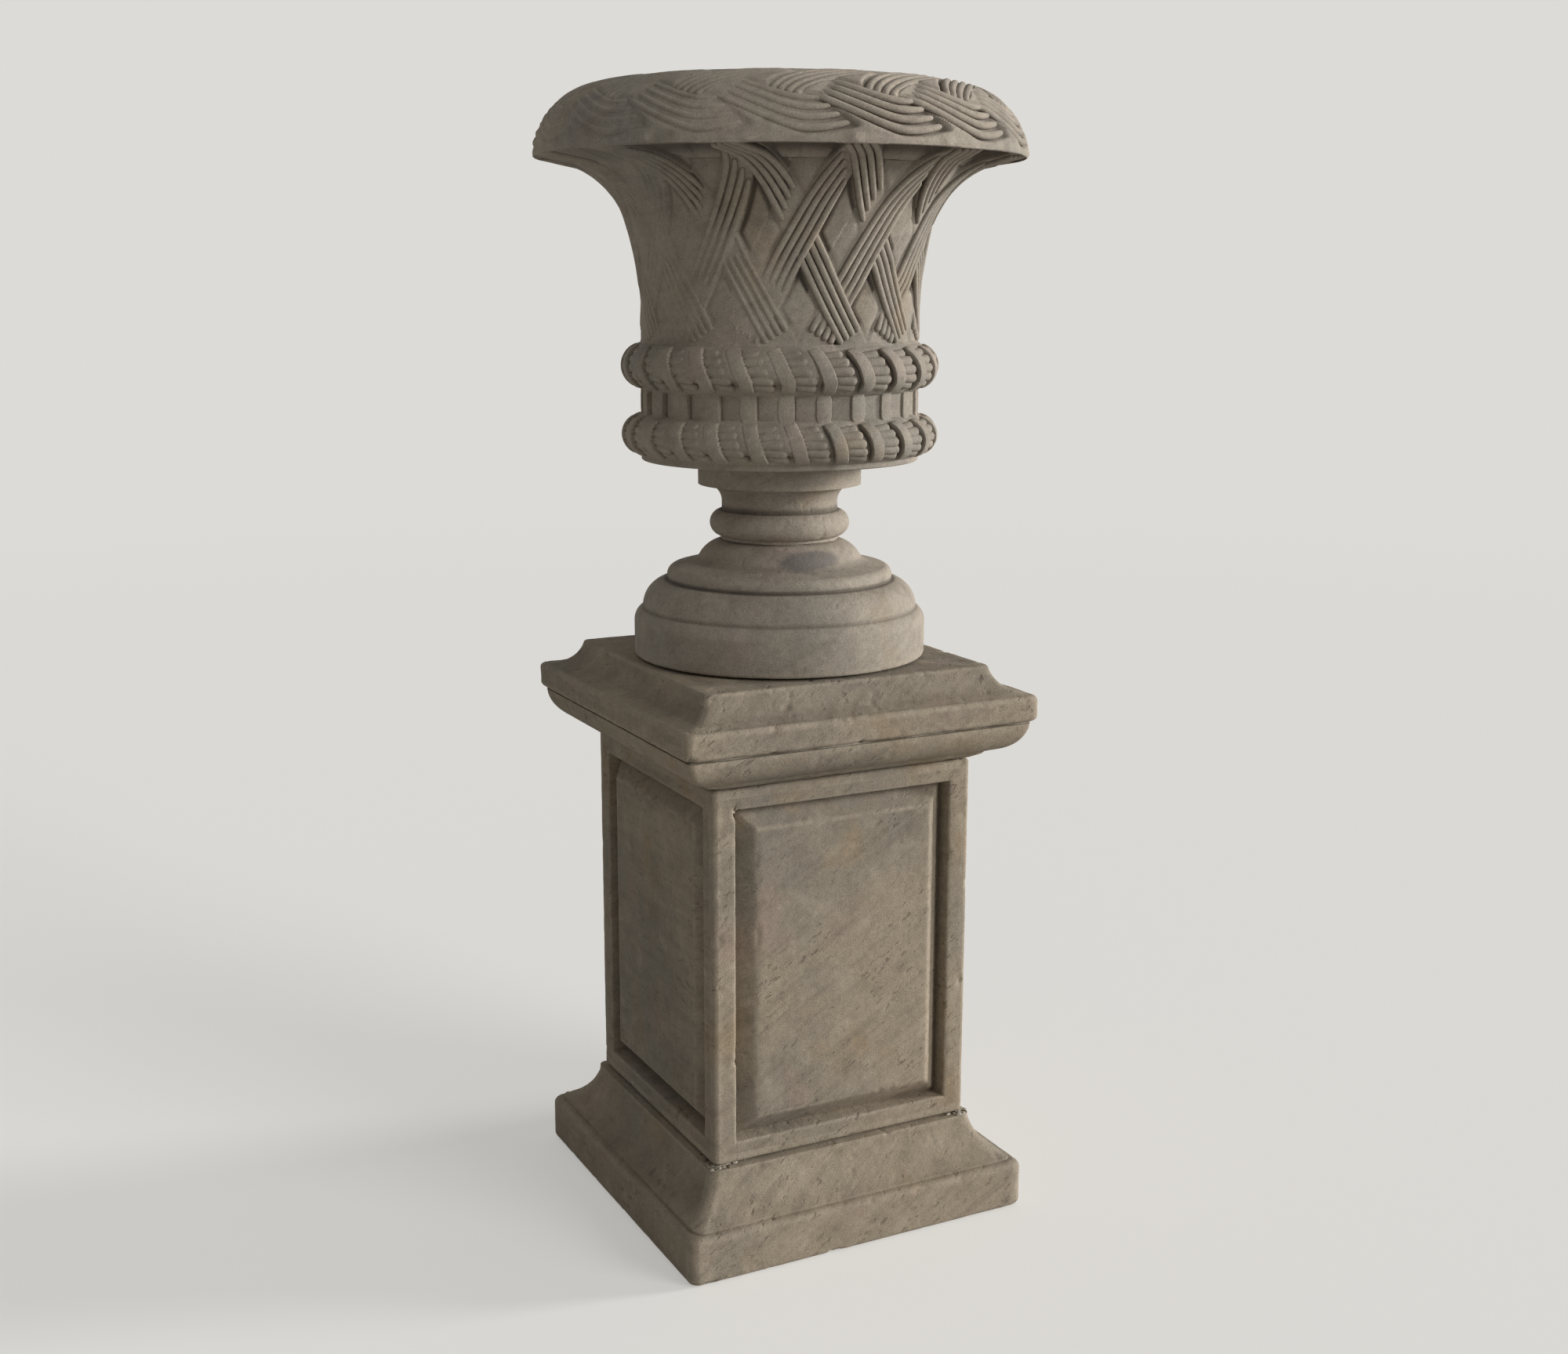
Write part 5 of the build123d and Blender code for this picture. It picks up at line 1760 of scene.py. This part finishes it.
    def lip_wear(self, turn: Wire, run: Wire) -> Wire:
        """How far the lip's edge is worn back, from 0 at the hooks' tips to 1 between them."""
        half, lip = 180.0 / self.rim_repeats, self.lip_run
        cusp = (turn - self.hook_turn - self.hook_tip - self.nib_offset).wrap(-half, half)
        nib = most(1 - abs(cusp) / self.nib_half_turn, 0.0)
        return run.span((lip - 6.0, lip - 2.0), (lip + 6.0, lip + 14.0)) * (1 - nib)

    def rim_cut(self, turn: Wire, run: Wire, radius: Wire) -> Wire:
        """Where the rim's ground is cut back for its strands, from 0 to 1, and more at their tips."""
        height = run - self.lip_run
        pitch = 360.0 / self.rim_repeats
        near = (turn - self.hook_turn).wrap(-pitch / 2, pitch / 2)
        cuts = []
        for offset in (near, near - pitch):
            number = (height - self.hook_level - self.hook_line(offset)) / self.hook_rise
            across = 1 - abs(number - (self.hook_strands - 1) / 2).ramp(1.9, 2.3)
            past_tip = offset - self.hook_tip - self.hook_tip_drift * number
            past_start = offset - self.hook_start - self.hook_start_drift * number
            pocket = 1 + 0.35 * past_tip.ramp(-4.0, -0.5)
            cuts.append(across * (1 - past_tip.ramp(0.0, 1.5)) * past_start.ramp(2.0, 8.0) * pocket)
        rise = height - self.plume_level
        lean = self.plume_lean + 2 * self.plume_bend * rise
        offset = (turn - self.plume_turn - self.plume_line(rise)).wrap(-pitch / 2, pitch / 2)
        aside = abs(self.across(offset, lean, radius)) / self.plume_pitch
        plume = (1 - aside.ramp(1.9, 2.3)) * rise.ramp(2.0, 9.0) * (1 - rise.ramp(70.0, 84.0))
        return most(most(*cuts), plume) * height.ramp(3.0, 7.0)

    def ground(self, low: int, high: int, inner: Outline) -> Shell:
        """One length of the bowl as a closed ring, with marks that the carving needs.

        Args:
            low: First sample of the outside.
            high: Last sample of the outside.
            inner: The rest of the section, from the outside's last sample back to its first.

        Returns:
            The closed ring.
        """
        outer = slice(low, high + 1)
        rest = inner.samples()[1:-1]
        section = np.concatenate([self.outside[outer], rest])
        run = np.concatenate([self.runs[outer], np.full(len(rest), -1.0)])
        facing = np.concatenate([self.facing[outer], np.zeros_like(rest)])
        plan = RoundPlan(self.columns)
        grid = raised(plan.lay(section[:, 0]), section[:, 1])
        rings = grid.shape[:2]
        turn = np.arange(self.columns) * 360.0 / self.columns - FACING_TURN
        marks = {
            "turn": np.broadcast_to(turn, rings),
            "run": np.broadcast_to(run[:, None], rings),
            "radius": np.broadcast_to(section[:, :1], rings),
            "facing": raised(facing[:, :1, None] * plan.lay(np.ones(1)), facing[:, 1]),
        }
        return lattice(grid, marks, loop=True)

    def grounds(self) -> dict[str, Shell]:
        """The bowl's three lengths: waist, bell and rim."""
        at = self.marks
        wall, floor = self.mouth_radius, self.bottom + self.floor_thickness
        waist = Outline(*self.outside[at[3]], self.inner_step)
        waist.line(wall, self.bell_bottom)
        waist.line(wall, floor + self.floor_fillet)
        fillet_sag = self.floor_fillet * (1 - math.sqrt(0.5))
        waist.arc(wall - self.floor_fillet, floor, -fillet_sag, self.floor_step)
        waist.line(self.bore, floor)
        waist.line(self.bore, self.bottom)
        waist.line(self.waist_radius - self.plate_arris, self.bottom)
        waist.step = self.step
        waist.rounded(*self.outside[0])
        bell = Outline(*self.outside[at[4]], self.inner_step)
        bell.line(wall, self.slope_bottom).line(wall, self.bell_bottom).line(*self.outside[at[3]])
        rim = Outline(*self.outside[-1], self.mouth_step)
        rim.heading = math.pi
        rim.flowing(wall, self.top - self.mouth_depth)
        rim.step = self.inner_step
        rim.line(wall, self.slope_bottom).line(*self.outside[at[4]])
        return {
            "bowl_waist": self.ground(0, at[3], waist),
            "bowl_bell": self.ground(at[3], at[4], bell),
            "bowl_rim": self.ground(at[4], len(self.outside) - 1, rim),
        }

    def build(self, garland: Recipe, stone: bpy.types.Material) -> None:
        """Builds the bowl's ground and the strands carved on it.

        Args:
            garland: The tree that repeats strands round the axis.
            stone: Their material.
        """
        carving = self.carving_recipe()
        for name, shell in self.grounds().items():
            piece = carving.run(shell.piece(name), stone, {})
            dress(piece, Body.URN, ["urn_bowl"])
        slashes, backs = self.weave()
        weave = {"Repeats": float(self.weave_repeats)}
        rings = {"Repeats": float(self.ring_repeats), "Waver": 0.35}
        for name, shell, sizes in (
            ("bell_strands_right", slashes, {**weave, "Seed": 11.0}),
            ("bell_strands_left", backs, {**weave, "Seed": 12.0}),
            ("ring_bindings", self.binding(), {**rings, "Seed": 13.0}),
            ("rim_strands", self.rim_strands(), {"Repeats": float(self.rim_repeats), "Seed": 14.0}),
        ):
            piece = garland.run(shell.piece(name), stone, sizes)
            dress(piece, Body.URN, ["urn_bowl"])


@dataclass
class JointWork:
    """What joins the stones: mortar, dowels and pins, pads, drain pipe, and crumbs in a joint."""

    crumb_reach: float = 0.10
    crumb_width: float = 11.0
    crumb_inset: float = 5.0
    crumb_drops: tuple[float, ...] = (2.4, 1.0, 1.6, 2.4)
    far_share: float = 0.6
    sill_corner: float = 8.0
    sill_columns: int = 80

    def crumbs(self) -> Shell:
        """A thin sill round the foot of the die, marked where crumbs lie thickest."""
        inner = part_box("plinth_die")[1].x / MM - self.crumb_inset
        plan = SquarePlan(even_places(self.sill_columns), self.sill_corner, self.crumb_reach)
        halves = np.array([1.0, inner, inner + self.crumb_width, 1.0])
        grid = raised(plan.lay(halves), levels("plinth_die")[0] - np.array(self.crumb_drops))
        front = (grid[..., 1] < 0.0) * np.where(grid[..., 0] < 0.0, 1.0, self.far_share)
        marks = {"edge": plan.corner() ** 2 * front * (halves[:, None] > 1.0)}
        return lattice(grid, marks, loop=False)

    def build(self, scatter: Recipe, mortar: bpy.types.Material) -> None:
        """Dresses the CAD nodes of the joints and scatters the crumbs.

        Args:
            scatter: The tree that scatters crumbs.
            mortar: The mortar's material.
        """
        steel = DullMetal(
            "stainless_steel", srgb(196, 196, 192), srgb(150, 148, 142), 0.34, (1.0, 1.0, 0.05)
        ).material()
        lead = DullMetal("lead", srgb(120, 124, 130), srgb(84, 86, 90), 0.55).material()
        dressing = {f"{joint}_mortar": mortar for joint in ("base", "die", "cap", "foot", "stem")}
        dressing |= {f"{joint}_dowels": steel for joint in ("base", "die", "cap", "foot", "stem")}
        dressing |= {"locating_pins": steel, "drain_pipe": steel, "setting_pads": lead}
        for node, material in dressing.items():
            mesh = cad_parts[node].data
            mesh.materials.clear()
            mesh.materials.append(material)
            log.info("%s: in %s", node, material.name)
        piece = scatter.run(self.crumbs().piece("mortar_crumbs"), mortar, {})
        dress(piece, Body.PLINTH)


@dataclass
class Studio:
    """The pale floor, the soft lights and the camera."""

    floor_size: float = 60.0
    floor_colour: tuple[float, ...] = srgb(206, 204, 200)
    backdrop: tuple[float, ...] = srgb(221, 219, 215)
    glow: float = 0.5
    fade_near: float = 3.0
    fade_far: float = 10.0
    fill: float = 0.26
    key_towards: tuple[float, float, float] = (0.95, -0.25, 0.16)
    key_level: float = 0.95
    key_spread: float = 12.0
    front_towards: tuple[float, float, float] = (0.5, -0.8, 0.35)
    front_level: float = 0.42
    front_spread: float = 30.0
    lamp_distance: float = 4.0
    camera_place: tuple[float, float, float] = (-1.1900, -2.3223, 1.3027)
    camera_yaw: float = 27.282
    camera_pitch: float = -11.944
    camera_roll: float = 0.140
    lens: float = 43.36
    sensor: float = 36.0

    @staticmethod
    def shown(graph: Graph) -> Wire:
        """1 on the rays that show the backdrop as it is, and 0 on those that only carry light."""
        paths = graph.node("ShaderNodeLightPath")
        names = ("Is Camera Ray", "Is Glossy Ray", "Is Transmission Ray")
        camera, glossy, through = (Wire(graph, paths.outputs[name]) for name in names)
        return most(most(camera, glossy), through)

    def floor(self) -> None:
        """Lays a floor that fades into the backdrop far away."""
        half = self.floor_size / 2
        mesh = bpy.data.meshes.new("floor")
        corners = [(-half, -half, 0.0), (half, -half, 0.0), (half, half, 0.0), (-half, half, 0.0)]
        mesh.from_pydata(corners, [], [(0, 1, 2, 3)])
        floor = bpy.data.objects.new("floor", mesh)
        bpy.context.scene.collection.objects.link(floor)
        material = bpy.data.materials.new("floor")
        graph = Graph.blank(material)
        place = graph.wire("ShaderNodeTexCoord", None, None, "Object")
        away = graph.wire("ShaderNodeVectorMath", {"operation": "LENGTH"}, {0: place}, "Value")
        seen = self.shown(graph)
        matt = graph.wire("ShaderNodeBsdfDiffuse", None, {"Color": self.floor_colour})
        glow = {"Color": self.backdrop, "Strength": seen * self.glow}
        lit = graph.wire("ShaderNodeEmission", None, glow)
        near = graph.wire("ShaderNodeAddShader", None, {0: matt, 1: lit})
        far = graph.wire("ShaderNodeEmission", None, {"Color": self.backdrop})
        share = away.ramp(self.fade_near, self.fade_far) * seen
        mixed = graph.wire("ShaderNodeMixShader", None, {0: share, 1: near, 2: far})
        graph.node("ShaderNodeOutputMaterial", None, {"Surface": mixed})
        mesh.materials.append(material)

    def world(self) -> None:
        """Sets a dim even sky that the camera sees as the pale backdrop."""
        world = bpy.data.worlds.new("studio")
        graph = Graph.blank(world)
        seen = self.shown(graph)
        dim = graph.wire("ShaderNodeBackground", None, {"Color": (1, 1, 1, 1), "Strength": self.fill})
        pale = graph.wire("ShaderNodeBackground", None, {"Color": self.backdrop, "Strength": 1.0})
        mixed = graph.wire("ShaderNodeMixShader", None, {0: seen, 1: dim, 2: pale})
        graph.node("ShaderNodeOutputWorld", None, {"Surface": mixed})
        bpy.context.scene.world = world

    def lamp(self, name: str, towards: Sequence[float], level: float, spread: float) -> None:
        """Hangs a far, soft lamp.

        Args:
            name: The lamp's name.
            towards: The direction in which the lamp lies.
            level: The light on a surface that faces it, where 1 shows a colour as written.
            spread: How wide the lamp looks, in degrees.
        """
        light = bpy.data.lights.new(name, "SUN")
        light.energy = math.pi * level
        light.angle = math.radians(spread)
        lamp = bpy.data.objects.new(name, light)
        lamp.rotation_mode = "QUATERNION"
        lamp.rotation_quaternion = Vector(towards).to_track_quat("Z", "Y")
        lamp.location = Vector(towards).normalized() * self.lamp_distance
        bpy.context.scene.collection.objects.link(lamp)

    def camera(self) -> None:
        """Sets the camera where the photograph was taken from."""
        data = bpy.data.cameras.new("camera")
        data.lens, data.sensor_width = self.lens, self.sensor
        camera = bpy.data.objects.new("camera", data)
        camera.location = self.camera_place
        camera.rotation_mode = "QUATERNION"
        aim = Euler((math.radians(90 + self.camera_pitch), 0.0, math.radians(-self.camera_yaw)))
        roll = Quaternion((0.0, 0.0, 1.0), math.radians(self.camera_roll))
        camera.rotation_quaternion = aim.to_quaternion() @ roll
        bpy.context.scene.collection.objects.link(camera)
        bpy.context.scene.camera = camera

    def build(self) -> None:
        """Sets up the whole studio."""
        self.floor()
        self.world()
        self.lamp("key", self.key_towards, self.key_level, self.key_spread)
        self.lamp("front_fill", self.front_towards, self.front_level, self.front_spread)
        self.camera()
        bpy.context.scene.view_settings.view_transform = "Standard"


def main() -> None:
    """Builds every piece of the object, then the studio, and notes the sizes."""
    logging.basicConfig(level=logging.INFO, format="%(name)s %(message)s")
    weathering, garland = weathering_recipe(), garland_recipe()
    plinth_stone = Sandstone("plinth_sandstone").material()
    urn_stone = Sandstone(
        "urn_sandstone", buff=srgb(160, 150, 136), grey=srgb(143, 136, 125), rose=srgb(158, 143, 132),
        ochre=srgb(156, 139, 116), bedding=0.15, pitting=0.25, seed=40.0,
        smear_place=(*SMEAR_AT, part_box("urn_foot")[1].z - SMEAR_DROP),
    ).material()
    Plinth().build(weathering, plinth_stone)
    Pedestal().build(weathering, urn_stone)
    CarvedBowl().build(garland, urn_stone)
    JointWork().build(crumb_recipe(), LimeMortar().material())
    Studio().build()


if __name__ == "__main__":
    main()
